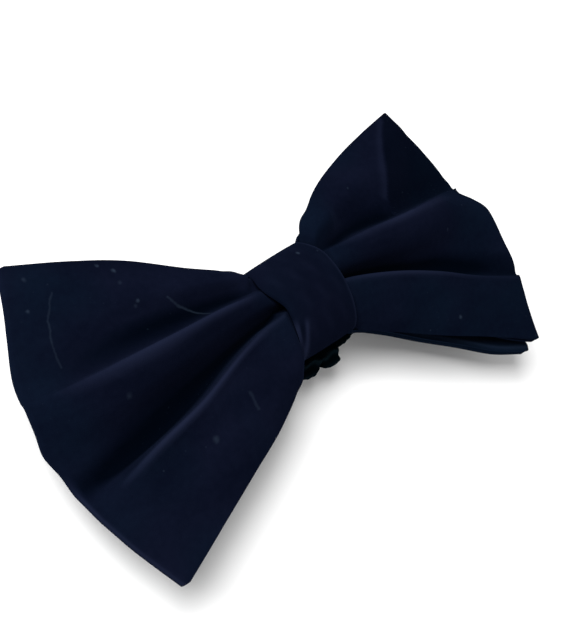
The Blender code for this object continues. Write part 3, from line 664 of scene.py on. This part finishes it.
rightWing = {
    "side": 1,
    "edge": (
        (-40.0, 69.5), (-36.1, 70.6), (-26.5, 73.1), (-22.2, 74.5), (-18.8, 76.8), (-15.2, 77.6),
        (-11.8, 77.4), (-7.6, 77.4), (-3.5, 77.7), (0.4, 78.2), (5.3, 75.5), (9.6, 73.6),
        (11.6, 76.2), (16.0, 76.0), (25.0, 73.1), (33.0, 70.6), (40.1, 68.2),
    ),
    "folds": (
        (14.2, 2.8,  18.2, 5.0,  23.2, 3.8,  27.4, 1.8,  33.0, 1.2,  37.0, 0.4,  40.3, -1.0),
        (12.8, 5.6,  15.2, 8.4,  18.2, 8.2,  21.0, 4.8,  24.6, 4.0,  26.4, 2.2,  27.0, -0.8),
        (10.2, 6.0,  10.8, 6.2,  11.3, 4.6,  12.2, 3.2,  11.6, 2.6,  11.6, 0.6,  12.0, -1.6),
        (9.8, 6.8,  10.2, 8.0,  10.3, 7.4,  10.6, 7.0,  10.0, 7.2,  10.3, 4.8,  10.6, 0.0),
        (9.2, 7.4,  9.8, 9.4,  9.9, 10.2,  9.7, 10.9,  8.9, 11.8,  9.3, 9.2,  9.6, 2.0),
        (6.8, 8.4,  7.2, 9.8,  7.6, 10.3,  7.2, 11.2,  6.0, 11.6,  5.7, 9.2,  5.3, 3.6),
        (4.6, 8.2,  4.6, 8.8,  4.2, 8.8,  3.2, 8.8,  1.0, 8.8,  0.4, 7.6,  0.0, 4.4),
        (3.8, 6.2,  3.5, 6.2,  2.6, 5.4,  1.2, 4.6,  -2.6, 4.4,  -4.6, 4.9,  -5.2, 4.8),
        (3.0, 4.8,  2.8, 3.8,  1.6, 2.4,  -0.2, 1.2,  -6.2, 1.4,  -12.2, 2.4,  -16.8, 3.0),
        (2.2, 6.8,  2.0, 6.8,  0.7, 6.2,  -1.8, 5.8,  -8.3, 5.4,  -14.9, 3.9,  -20.7, 2.8),
        (1.4, 8.8,  1.2, 9.6,  -0.3, 9.7,  -2.7, 9.5,  -8.7, 8.7,  -15.5, 6.0,  -21.8, 4.4),
        (-1.3, 8.8,  -1.8, 9.4,  -3.6, 9.3,  -5.9, 8.9,  -12.2, 8.1,  -19.0, 5.8,  -25.6, 4.2),
        (-5.0, 7.2,  -6.0, 6.6,  -8.6, 7.2,  -11.4, 7.4,  -16.6, 6.4,  -23.4, 4.9,  -30.2, 3.6),
        (-7.9, 5.0,  -9.0, 4.2,  -12.2, 4.8,  -15.4, 5.2,  -21.8, 4.6,  -28.6, 3.9,  -35.5, 3.1),
        (-9.4, 2.4,  -10.6, 2.2,  -14.4, 2.6,  -18.2, 2.6,  -25.8, 2.8,  -32.6, 2.9,  -40.0, 3.0),
    ),
    "creaseY": (9.0, 16.8, 20.6, 26.0, 31.5, 38.0),
    "creaseX": (43.4, 46.6, 48.8, 51.8, 56.8, 64.6),
}


# lowers the back ply where it comes nearer than the fold's height to the front one above it
def keepUnder(backY, backZ, y, z, within=1.6):
    for column in range(y.shape[1]):
        near = np.abs(backY[:, column][:, None] - y[:, column]) < within
        room = np.where(near, z[:, column] - strip["fold"], np.inf).min(axis=1)
        backZ[:, column] = np.minimum(backZ[:, column], room)


# front ply, its outer fold and back ply of one wing, as (rows, columns, 3) in mm
def wingPlies(wing):
    side = wing["side"]
    table = np.reshape(wing["folds"], (-1, len(strip["stations"]), 2))
    mouthX = knot["width"] / 2 + knot["clear"]
    stations = np.linspace(0.0, 1.0, strip["frontColumns"]) ** strip["crowding"]
    folds = throughPoints(strip["stations"], table.transpose(1, 0, 2), stations, steady=True)
    chords = np.linalg.norm(np.diff(table[:, 3:6], axis=0), axis=2).mean(axis=1)
    cloth = np.concatenate([[0.0], np.cumsum(chords)])
    share = np.linspace(0.0, 1.0, strip["rows"])
    share = share - strip["drift"] * np.sin(2 * math.pi * share)
    surface = throughPoints(cloth, folds.transpose(1, 0, 2), share * cloth[-1])
    y, z = surface[..., 0], surface[..., 1]
    edge = np.array(wing["edge"])
    outer = throughPoints(edge[:, 0], edge[:, 1], y[:, -1])
    reach = outer - strip["fold"] / 2 - mouthX
    x = mouthX + reach[:, None] * stations
    x = x + side * rimCurl(y[:, :1], side) * (1 - eased(stations, *strip["rimAlong"]))
    z = z + foldDetail(wing, x, y, stations)

    inset = strip["inset"] * eased(stations, *strip["insetAlong"])
    inset = inset * (1 - eased(stations, *strip["outsetAlong"]))
    top, bottom = y[0] - inset, y[-1] + inset
    settle = eased(stations, *strip["settleAlong"])
    even = top + (bottom - top) * share[:, None]
    backY = even * (1 - settle) + y * settle
    fall = strip["backLevel"] - strip["mouthBack"]
    flat = strip["mouthBack"] + fall * eased(stations, *strip["backAlong"])
    backZ = np.repeat(flat[None, :], len(share), axis=0)
    keepUnder(backY, backZ, y, z)
    edgeZ = z[:, -1:] - strip["fold"]
    rise = eased(stations, *strip["riseAlong"])
    backZ = np.minimum(backZ * (1 - rise) + edgeZ * rise, backZ + 30 * rise)
    keepUnder(backY, backZ, y, z, within=1.2)
    backStations = np.linspace(1.0, 0.0, strip["backColumns"])
    index = np.round(np.interp(backStations, stations, np.arange(len(stations)))).astype(int)
    front = np.stack([side * x, y, z], axis=2)
    back = np.stack([side * x, backY, backZ], axis=2)[:, index]
    return front, roundOf(front, side, strip["fold"], strip["foldColumns"]), back


# the round of a fold, from a ply's outer edge to the ply below it; pressed cloth turns squarely
def roundOf(ply, side, height, columns):
    radius, power = height / 2, strip["foldPower"]
    rounds = []
    for step in range(1, columns):
        angle = math.pi * (step / columns)
        bend = ply[:, -1].copy()
        bend[:, 0] += side * radius * math.sin(angle) ** power
        bend[:, 2] -= radius * (1 - math.copysign(abs(math.cos(angle)) ** power, math.cos(angle)))
        rounds.append(bend)
    return np.stack(rounds, axis=1)


def blurDown(values, rows):
    reach = int(3 * rows)
    kernel = np.exp(-0.5 * (np.arange(-reach, reach + 1) / rows) ** 2)
    kernel /= kernel.sum()
    padded = np.pad(values, ((reach, reach), (0, 0)), mode="reflect", reflect_type="odd")
    return np.stack([np.convolve(column, kernel, mode="valid") for column in padded.T], axis=1)


# distance past the pressed crease of the top panel, towards the outer edge
def pastCrease(wing, x, y):
    at = np.clip(y, wing["creaseY"][0], wing["creaseY"][-1]).ravel()
    return x - throughPoints(wing["creaseY"], wing["creaseX"], at).reshape(x.shape)


# painted highlight on the crests, painted shade in the valleys and on the facet past the crease
paintedShading = {
    "crest": (1.4, 3.0, 0.3),  # rows that the blur spans, gain per mm, and what is taken off
    "valley": (4.5, 1.3, 0.28),
    "light": 0.7,
    "dark": 0.88,
    "panelFrom": (8.5, 2.5),
    "facetPast": (-0.5, 1.0),  # the facet past the crease gets painted shade
    "facetDark": 0.62,
    "edgeLight": 0.28,
    "edgeAt": (-1.6, 1.5),
}


# painted light on a front ply: painted highlight on the crests, painted shade in the valleys, and on the
# right wing painted shade on the facet past the crease with a painted highlight along it
def paintedLightOf(wing, front):
    x, y, z = front[..., 0], front[..., 1], front[..., 2]
    rows, gain, floor = paintedShading["crest"]
    crest = np.clip((z - blurDown(z, rows)) * gain - floor, 0.0, 1.0)
    rows, gain, floor = paintedShading["valley"]
    valley = np.clip((blurDown(z, rows) - z) * gain - floor, 0.0, 1.0)
    if wing["side"] > 0:
        away = pastCrease(wing, x, y)
        panel = eased(y, *paintedShading["panelFrom"])
        facet = panel * eased(away, *paintedShading["facetPast"])
        crest = crest * (1 - facet)
        valley = np.maximum(valley * (1 - facet), paintedShading["facetDark"] * facet)
        crest = np.maximum(crest, paintedShading["edgeLight"] * panel * bell(away, *paintedShading["edgeAt"]))
    return paintedShading["light"] * crest - paintedShading["dark"] * valley


unevenness = {
    "wave": (26.0, 9.0),  # mm along and across the folds
    "height": 0.35,
    "growAlong": (0.0, 0.2),
    "fadeAlong": (0.8, 0.2),
    "ridge": 1.3,
    "ridgeRise": 6.0,
    "ridgeFall": 0.13,
    "ridgeFloor": -0.3,
    "ridgeFrom": (9.5, 4.0),
    "ridgeTo": (31.0, 6.0),
    "ridgePast": (34.0, 10.0),
}


# small unevenness of stiff cloth: slack waves along the folds, flat at the knot, low at the edge
def foldDetail(wing, x, y, stations):
    detail = np.zeros_like(x)
    side = wing["side"]
    along, across = unevenness["wave"]
    for row in range(x.shape[0]):
        for column in range(x.shape[1]):
            place = Vector((side * x[row, column] / along, y[row, column] / across, 3.7 * side))
            detail[row, column] = unevenness["height"] * noise.noise(place)
    grown = eased(stations, *unevenness["growAlong"])
    detail *= grown * (1 - 0.6 * eased(stations, *unevenness["fadeAlong"]))
    if side > 0:
        # pressed crease of the top panel, from the corner to the middle roll
        away = pastCrease(wing, x, y)
        top = unevenness["ridge"]
        fall = np.maximum(top - unevenness["ridgeFall"] * away, unevenness["ridgeFloor"])
        ridge = np.where(away < 0, top * np.exp(away / unevenness["ridgeRise"]), fall)
        within = eased(y, *unevenness["ridgeFrom"]) * (1 - eased(y, *unevenness["ridgeTo"]))
        detail += ridge * within * eased(x, *unevenness["ridgePast"])
    return detail


# a strip's column on the middle plane, drawn in from the one at the mouth
def pinchedColumn(column, level=None):
    mouth = column.copy()
    mouth[:, 0] = 0.0
    if level is not None:
        mouth[:, 2] = level
    middle = np.array((0.0, knot["middleY"], knot["middleZ"]))
    return middle + (mouth - middle) * strip["pinch"]


# the columns of both wings in one closed ring; a wing's parts run from its mouth out and back
def ringOf(middle, right, under, left):
    back = [part[:, ::-1] for part in reversed(left)]
    return np.concatenate([middle[:, None], *right, under[:, None], *back], axis=1)


def buildFrontBow():
    left, right = wingPlies(leftWing), wingPlies(rightWing)
    under = pinchedColumn(left[2][:, -1], strip["mouthBack"])
    grid = ringOf(pinchedColumn(left[0][:, 0]), right, under, left)
    leftPaintedLight, rightPaintedLight = paintedLightOf(leftWing, left[0]), paintedLightOf(rightWing, right[0])
    # a painted highlight along the left fold, low down
    lowDown = eased(-left[0][:, -1:, 1], *strip["highlightBelow"])
    wearAndHighlight = lowDown * 0.5 * bell(np.arange(1, strip["foldColumns"]), *strip["highlightAt"])
    still = np.zeros(len(grid))
    plain = np.zeros((len(grid), strip["backColumns"]))
    rightRound = np.repeat(0.5 * rightPaintedLight[:, -1:], strip["foldColumns"] - 1, axis=1)
    napAndPaintedLight = ringOf(still, (rightPaintedLight, rightRound, plain), still, (leftPaintedLight, wearAndHighlight, plain))
    grid[..., 2] += bowPlane
    piece = clothFromGrid("frontBow", grid, frontVelvet, napAndPaintedLight=napAndPaintedLight)
    giveWall(piece, strip["cloth"], strip["cutRound"])
    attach(piece, "bow")
    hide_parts("front_bow")
    return left, right


rear = {
    "cornerX": {-1: 61.5, 1: 70.0},
    "cornerY": {-1: 37.8, 1: 39.2},
    "bulge": 6.0,
    "thickness": 2.7,
    "cloth": 1.2,
    "cutRound": 0.5,
    "clear": 0.3,  # under the front strip at the mouth
    "gap": 0.9,  # and how much more further out
    "fall": 1.8,
    "leaveAlong": (0.0, 0.1),
    "mouthShare": 0.85,
    "spread": (
        (0.0, 0.0), (0.04, 0.04), (0.12, 0.075), (0.26, 0.21),
        (0.43, 0.414), (0.62, 0.628), (0.82, 0.865), (1.0, 1.01),
    ),
    "columns": 60,
    "foldColumns": 6,
    "hem": 0.7,  # rolled along both long edges
    "hemAt": (1.3, 0.9),
    "drop": 1.2,
    "turn": math.radians(-1.2),
    # painted light on the rear bow: a little all over, a painted highlight along the lower hem, painted
    # shade further in
    "allOverLight": 0.08,
    "hemLight": 0.6,
    "hemLightAt": (1.2, 0.5),
    "innerDark": 0.5,
    "innerFrom": (2.6, 1.2),
}


def rearPlies(wing, front, back):
    stations = np.linspace(0.0, 1.0, rear["columns"])
    mouthX = knot["width"] / 2 + knot["clear"]
    side = wing["side"]
    share = front[:, -1, 1] / front[0, -1, 1]
    outer = rear["cornerX"][side] + rear["bulge"] * (1.0 - share**2) - rear["thickness"] / 2
    x = mouthX + (outer - mouthX)[:, None] * stations
    mouthY = knot["middleY"] + (front[:, 0, 1] - knot["middleY"]) * rear["mouthShare"]
    curve = np.array(rear["spread"])
    spread = throughPoints(curve[:, 0], curve[:, 1], stations)
    y = mouthY[:, None] + (share * rear["cornerY"][side] - mouthY)[:, None] * spread
    leave = eased(stations, *rear["leaveAlong"])
    flat = strip["mouthBack"] - rear["clear"] - rear["fall"] * leave
    z = np.zeros_like(x)
    for row in range(len(share)):
        close = back[max(0, row - 4) : row + 5]
        levels = [np.interp(x[row], np.abs(line[::-1, 0]), line[::-1, 2]) for line in close]
        z[row] = softMin(flat, np.min(levels, axis=0) - rear["clear"] - rear["gap"] * leave, 0.8)
    turn = rear["turn"] * leave
    turnedX = side * x * np.cos(turn) - y * np.sin(turn)
    turnedY = side * x * np.sin(turn) + y * np.cos(turn) - rear["drop"] * leave
    fromEdge = np.minimum(np.abs(y - y[0]), np.abs(y - y[-1]))
    roll = rear["hem"] * bell(fromEdge, *rear["hemAt"]) * leave
    upper = np.stack([turnedX, turnedY, z + 0.5 * roll], axis=2)
    lower = upper.copy()
    lower[..., 2] -= rear["thickness"] + 1.4 * roll
    return upper, roundOf(upper, side, rear["thickness"], rear["foldColumns"]), lower[:, ::-1]


def buildRearBow(frontLeft, frontRight):
    left = rearPlies(leftWing, frontLeft[0], frontLeft[2])
    right = rearPlies(rightWing, frontRight[0], frontRight[2])
    level = knot["middleZ"] + (strip["mouthBack"] - knot["middleZ"]) * strip["pinch"] - rear["clear"]
    middle, under = pinchedColumn(left[0][:, 0]), pinchedColumn(left[2][:, -1])
    middle[:, 2], under[:, 2] = level, level - rear["thickness"]
    grid = ringOf(middle, right, under, left)
    # painted light: a little all over, a painted highlight along the lower hem and painted shade further in
    fromLow = np.abs(grid[..., 1] - grid[-1:, :, 1])
    napAndPaintedLight = rear["allOverLight"] + rear["hemLight"] * bell(fromLow, *rear["hemLightAt"])
    napAndPaintedLight = napAndPaintedLight - rear["innerDark"] * eased(fromLow, *rear["innerFrom"])
    grid[..., 2] += bowPlane
    piece = clothFromGrid("rearBow", grid, rearLitVelvet, napAndPaintedLight=napAndPaintedLight)
    giveWall(piece, rear["cloth"], rear["cutRound"])
    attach(piece, "bow")
    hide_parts("rear_bow")


buildRearBow(*buildFrontBow())
print("folded strips made")


def signedPower(value, power):
    return np.sign(value) * np.abs(value) ** power


def buildKnotWrap():
    share = np.linspace(-1.0, 1.0, knot["rows"])[:, None]
    angle = np.linspace(0.0, 2 * math.pi, knot["columns"], endpoint=False)
    onFront = np.sin(angle) >= 0
    power = np.where(onFront, knot["frontPower"], knot["backPower"])
    half = knot["width"] / 2
    fromRim = (1.0 - np.abs(share)) * half
    radius = knot["rimRound"]
    drop = radius - np.sqrt(np.maximum(radius**2 - np.maximum(radius - fromRim, 0.0) ** 2, 0.0))
    crown = knot["crown"] * (1.0 - share**2) - drop
    front = knot["front"] - knot["middleZ"]
    back = knot["back"] + knot["middleZ"]
    reach = np.where(onFront, front + crown, back - 0.6 * drop)
    wide = knot["height"] / 2 + 0.3 * crown * onFront - 0.4 * drop
    y = knot["middleY"] + wide * signedPower(np.cos(angle), 2 / power)
    z = knot["middleZ"] + reach * signedPower(np.sin(angle), 2 / power)
    x = share * half + 0 * angle
    x = x + np.maximum(share, 0.0) * rimCurl(y, 1) + np.maximum(-share, 0.0) * rimCurl(y, -1)
    y = y + (knot["skew"] + knot["taper"] * eased(y, *knot["taperFrom"])) * x
    # a slack crease low on the left, and faint pulls along the band
    facing = np.sin(angle) > 0
    low = eased(-y, *knot["creaseBelow"])

    def leaning(line):
        atX, slope, atY = line
        return atX + slope * (y - atY)

    crease = bell(x, leaning(knot["creaseX"]), knot["creaseWidth"]) * low * facing
    pulls = np.sin(x * 1.1 + 0.25 * y) * np.sin(y * 0.45 + 1.0) * facing
    z = z + knot["creaseHeight"] * crease + knot["pullHeight"] * pulls
    # painted light on the knot: painted highlight along the right rim and the lower left rim, slight painted
    # shade higher on the left rim, painted highlight on the crease, painted shade beside it, faint painted
    # light and shade on the pulls
    rightRimHighlight = 0.35 * bell(share, 0.955, 0.05)
    leftRimLightAndShade = (0.70 * eased(-y, 0.5, 4.0) - 0.10) * bell(share, -1.0, 0.09)
    shade = 0.4 * bell(x, leaning(knot["shadeX"]), 0.7) * low
    napAndPaintedLight = (rightRimHighlight + leftRimLightAndShade) * facing + 0.5 * crease - shade + 0.05 * pulls
    grid = np.stack([x, y, z + bowPlane], axis=2)
    piece = clothFromGrid("knotWrap", grid, knotShadedVelvet, flip=True, napAndPaintedLight=napAndPaintedLight)
    giveWall(piece, knot["wall"], knot["cutRound"])
    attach(piece, "bow")
    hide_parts("knot_wrap")


buildKnotWrap()
print("knot wrap made")


pad = {
    "left": -11.5,
    "right": 23.0,
    "low": -16.3,
    "high": 13.0,
    "squareness": 0.58,
    "plumpness": 0.42,
    "flatness": 0.7,
    "lobePitch": 9.0,
    "lobeStart": 2.4,
    "lobeDepth": 1.6,
    "lobeSharpness": 1.4,
    "lobesEnd": (11.0, 2.0),  # below the knot the rim is plain from here to the right
    "pleatPitch": 2.15,
    "pleatDepth": 0.22,
    "stepBack": 3.4,  # the rim lies further in to the right of the second lobe
    "stepFrom": (9.4, 2.6),
    "tabRoom": 6.0,  # the rim keeps clear of the upper finger tab, which rises there
    "tabFrom": (14.0, 6.0),
    "tabReach": 11.5,
    "below": (11.2, 1.2),
    "ridge": 1.3,  # a wavy roll of the gathered cloth stands up just inside the rim
    "ridgeAt": 0.80,
    "groove": 0.7,
    "rows": 72,
    "columns": 400,
    "smoothAngle": 70,
}


def buildBackPad():
    low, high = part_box("back_pad")
    bottom, top = low.z / mm, high.z / mm
    angle = np.linspace(0.0, 2 * math.pi, pad["columns"], endpoint=False) - math.pi / 2
    halfX, halfY = (pad["right"] - pad["left"]) / 2, (pad["high"] - pad["low"]) / 2
    midX, midY = (pad["right"] + pad["left"]) / 2, (pad["high"] + pad["low"]) / 2
    rimX = halfX * signedPower(np.cos(angle), pad["squareness"])
    rimY = halfY * signedPower(np.sin(angle), pad["squareness"])
    besideTab = eased(pad["tabReach"] - np.abs(midY + rimY), 0.0, 3.0)
    rimX = rimX - pad["tabRoom"] * eased(midX + rimX, *pad["tabFrom"]) * besideTab
    rimY = rimY + pad["stepBack"] * eased(midX + rimX, *pad["stepFrom"]) * eased(-rimY / halfY * 2)
    steps = np.hypot(np.diff(rimX, append=rimX[0]), np.diff(rimY, append=rimY[0]))
    along = np.concatenate([[0.0], np.cumsum(steps)[:-1]])
    girth = steps.sum()
    lobes = round(girth / pad["lobePitch"])
    pleats = round(girth / pad["pleatPitch"])
    phase = (along + midX - pad["lobeStart"]) / girth
    valley = (1.0 - np.abs(np.sin(math.pi * lobes * phase))) ** pad["lobeSharpness"]
    valley = valley * (1.0 - eased(midX + rimX, *pad["lobesEnd"]) * (rimY < 0))
    fine = np.abs(np.cos(math.pi * pleats * phase + 0.6 * np.sin(11 * phase)))
    length = np.hypot(rimX, rimY)
    lift = np.linspace(-math.pi / 2, math.pi / 2, pad["rows"])[:, None]
    plump = np.cos(lift) ** pad["plumpness"]
    outward = plump**3
    inwards = (pad["lobeDepth"] * valley + pad["pleatDepth"] * fine) * outward
    shrink = plump * (1.0 - inwards / length)
    x = midX + rimX * shrink
    y = midY + rimY * shrink
    middle, half = (bottom + top) / 2, (top - bottom) / 2
    level = half * signedPower(np.sin(lift), pad["flatness"])
    z = middle + level * (1.0 - 0.3 * valley * outward)
    # the roll shows only below the knot, where nothing lies over the pad
    below = eased(-y, *pad["below"]) * (lift > 0)
    wave = pad["ridgeAt"] + 0.05 * np.cos(2 * math.pi * lobes * phase)
    roll = bell(plump, wave, 0.05) * below
    hollow = bell(plump, wave + 0.11, 0.05) * below * (0.4 + 0.6 * valley)
    z = z + pad["ridge"] * roll - pad["groove"] * hollow
    # painted light on the pad: painted highlight on the roll and on the rim's outermost line between lobes,
    # painted shade in the groove and in the lobes' valleys
    napAndPaintedLight = 0.8 * roll + 0.35 * bell(plump, 0.99, 0.03) * (1 - valley) - 0.8 * hollow
    napAndPaintedLight = napAndPaintedLight - 0.5 * (valley**2) * outward
    grid = np.stack([x, y, z], axis=2)
    piece = clothFromGrid("backPad", grid, padShadedVelvet, flip=True, napAndPaintedLight=napAndPaintedLight)
    weld(piece, 0.000001)
    shadeSmooth(piece, pad["smoothAngle"])
    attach(piece, "bow")
    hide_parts("back_pad")


buildBackPad()
print("back pad made")


thread = {
    "turns": 4,
    "size": 0.7,
    "strands": 3,
    "strandSize": 0.36,
    "pointsPerTurn": 400,
    "twist": 1.8,  # length of one turn of the twist
    "step": 0.4,
}


# the winding that pinches both strips inside the wrap: three strands laid up into one thread
def buildGatherThread():
    low, high = (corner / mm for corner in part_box("gather_thread"))
    centreZ = bowPlane + knot["middleZ"]
    half = (high.y - low.y - thread["size"]) / 2
    rise, fall = high.z - centreZ - thread["size"] / 2, centreZ - low.z - thread["size"] / 2
    reach = (high.x - low.x - thread["size"]) / 2
    middleY = (high.y + low.y) / 2
    turn = np.linspace(0.0, 2 * math.pi * thread["turns"], thread["turns"] * thread["pointsPerTurn"])
    power = np.where(np.sin(turn) >= 0, knot["frontPower"], knot["backPower"])
    path = np.stack(
        [
            np.linspace(-reach, reach, len(turn)),
            middleY + half * signedPower(np.cos(turn), 2 / power),
            centreZ + np.where(np.sin(turn) >= 0, rise, fall) * signedPower(np.sin(turn), 2 / power),
        ],
        axis=1,
    )
    run = np.concatenate([[0.0], np.cumsum(np.linalg.norm(np.diff(path, axis=0), axis=1))])
    even = np.arange(0.0, run[-1], thread["step"])
    path = np.stack([np.interp(even, run, path[:, k]) for k in range(3)], axis=1)
    tangent = np.gradient(path, axis=0)
    tangent /= np.linalg.norm(tangent, axis=1)[:, None]
    across = np.cross(tangent, (1.0, 0.0, 0.0))
    across /= np.linalg.norm(across, axis=1)[:, None]
    beside = np.cross(tangent, across)
    paths = []
    for strand in range(thread["strands"]):
        angle = 2 * math.pi * (even / thread["twist"] + strand / thread["strands"])[:, None]
        away = (thread["size"] - thread["strandSize"]) / 2
        paths.append((path + away * (np.cos(angle) * across + np.sin(angle) * beside)).tolist())
    piece = wirePiece("gatherThread", paths, thread["strandSize"], navyThread, resolution=1)
    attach(piece, "bow")
    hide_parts("gather_thread")


buildGatherThread()
print("gather thread made")


lining = {
    "thickness": 0.45,
    "cutRound": 0.1,
    "ribPitch": 0.62,
    "ribHeight": 0.07,
    "selvedge": 0.5,
    "turnedUnder": 1.0,  # at each long edge
    "columnsPerRib": 8,
    "rows": 22,
}


# ribbed ribbon on the grip face of the upper jaw
def buildClipLining():
    low, high = (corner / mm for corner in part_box("clip_lining"))
    ribs = round((high.x - low.x) / lining["ribPitch"])
    x = np.linspace(low.x, high.x, ribs * lining["columnsPerRib"] + 1)
    y = np.linspace(low.y, high.y, lining["rows"])[:, None]
    flat = eased(np.minimum(y - low.y, high.y - y), 0.0, lining["selvedge"])
    phase = math.pi * ribs * (x - low.x) / (high.x - low.x)
    ribShape = np.abs(np.sin(phase)) ** 0.7
    z = low.z + lining["ribHeight"] * (1.3 - ribShape * flat) + 0.03 * np.sin(2 * phase) * (1 - flat)
    grid = np.stack(np.broadcast_arrays(x, y, z), axis=2).astype(float)
    piece = clothFromGrid("clipLining", grid, blackRibbon, closed=False, flip=True)
    giveWall(piece, lining["thickness"], lining["cutRound"], rimSteps=2)
    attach(piece, "bow")
    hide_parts("clip_lining")


buildClipLining()
print("clip lining made")

spring = {
    "wire": 0.6,
    "coil": 3.8,  # across the middle of the wire
    "turns": 3.5,
    "stepsPerTurn": 40,
    "legSteps": 12,
    "hinge": (9.0, 5.6),
    "leg": 8.5,
    "legLift": 0.27,  # centre of a leg's end, in from the box of the whole spring
    "blendFrom": 0.3,  # in mm from the hinge, above it
    "blendTo": -1.4,  # and below it
}


# round wire: a leg under the upper tab, the coil round the pin, a leg over the lower tab
def buildSpring():
    low, high = (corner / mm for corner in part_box("torsion_spring"))
    hingeX, hingeZ = spring["hinge"]
    reach = (high.y - low.y - spring["wire"]) / 2
    count = round(spring["turns"] * spring["stepsPerTurn"])
    share = np.linspace(0.0, 1.0, count + 1)
    angle = math.pi / 2 + 2 * math.pi * spring["turns"] * share
    radius = spring["coil"] / 2
    coil = np.stack(
        [hingeX + radius * np.cos(angle), reach - 2 * reach * share, hingeZ + radius * np.sin(angle)], axis=1
    )
    endX = hingeX + spring["leg"]
    ends = ((endX, reach, high.z - spring["legLift"]), (endX, -reach, low.z + spring["legLift"]))
    legs = []
    for end, joined in zip(ends, (coil[0], coil[-1])):
        steps = np.linspace(1.0, 0.0, spring["legSteps"], endpoint=False)[:, None]
        legs.append(np.array(joined) + (np.array(end) - joined) * steps)
    path = np.concatenate([legs[0], coil, legs[1][::-1]])
    piece = wirePiece("torsionSpring", [path.tolist()], spring["wire"], springWire, resolution=3)
    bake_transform(piece)
    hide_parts("torsion_spring")


buildSpring()
print("spring made")

for name in ("clip_top_jaw", "clip_bottom_jaw", "hinge_pin"):
    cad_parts[name].data.materials.clear()
    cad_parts[name].data.materials.append(nickelPlate)


# floor, light and camera

stageSetup = {
    "floorTone": 0.90,
    "worldStrength": 0.45,
    "keyPower": 9.0,
    "keySize": 0.40,
    "keyPlace": (-0.33, 0.27, 0.60),
}


def buildStage():
    deselectAll()
    bpy.ops.mesh.primitive_plane_add(size=6.0, location=(0, 0, 0))
    floor = bpy.context.object
    floor.name = "floor"
    material, tree, shader = newMaterial("paleFloor")
    tone = stageSetup["floorTone"]
    feed(tree, shader, {"Base Color": (tone, tone, tone, 1), "Roughness": 0.9})
    floor.data.materials.append(material)
    world = bpy.data.worlds.new("softSky")
    bpy.context.scene.world = world
    world.use_nodes = True
    # white where it is seen, dimmer as a light
    tree = world.node_tree
    rays = addNode(tree, "ShaderNodeLightPath", {}).outputs
    seen = mathNode(tree, "MAXIMUM", rays["Is Camera Ray"], rays["Is Glossy Ray"])
    seen = mathNode(tree, "MAXIMUM", seen, rays["Is Transmission Ray"])
    dim = stageSetup["worldStrength"]
    strength = mathNode(tree, "MULTIPLY_ADD", seen, 1.0 - dim, dim)
    feed(tree, tree.nodes["Background"], {"Color": (1, 1, 1, 1), "Strength": strength})
    bpy.ops.object.light_add(type="AREA", location=stageSetup["keyPlace"])
    key = bpy.context.object
    key.name = "keyLight"
    key.data.energy = stageSetup["keyPower"]
    key.data.size = stageSetup["keySize"]
    aim = Vector((0, 0, 0.015)) - Vector(stageSetup["keyPlace"])
    key.rotation_euler = aim.to_track_quat("-Z", "Y").to_euler()


cameraSetup = {
    "place": (-174.59, -15.63, 223.83),
    "right": (0.69765, -0.51361, 0.49948),
    "up": (0.37718, 0.85605, 0.35343),
    "back": (-0.60911, -0.05818, 0.79095),
    "focalPixels": 1104.5,
    "frameHeight": 627,
}


def buildCamera():
    data = bpy.data.cameras.new("photoCamera")
    camera = bpy.data.objects.new("photoCamera", data)
    bpy.context.scene.collection.objects.link(camera)
    axes = Matrix((cameraSetup["right"], cameraSetup["up"], cameraSetup["back"])).transposed()
    place = Vector(cameraSetup["place"]) * mm + Vector((0, 0, bowPlane * mm))
    camera.matrix_world = Matrix.Translation(place) @ axes.to_4x4()
    data.sensor_width = 36.0
    data.lens = cameraSetup["focalPixels"] * data.sensor_width / cameraSetup["frameHeight"]
    data.clip_start = 0.01
    bpy.context.scene.camera = camera


buildStage()
buildCamera()
bpy.context.scene.view_settings.view_transform = "Standard"
print("stage made")
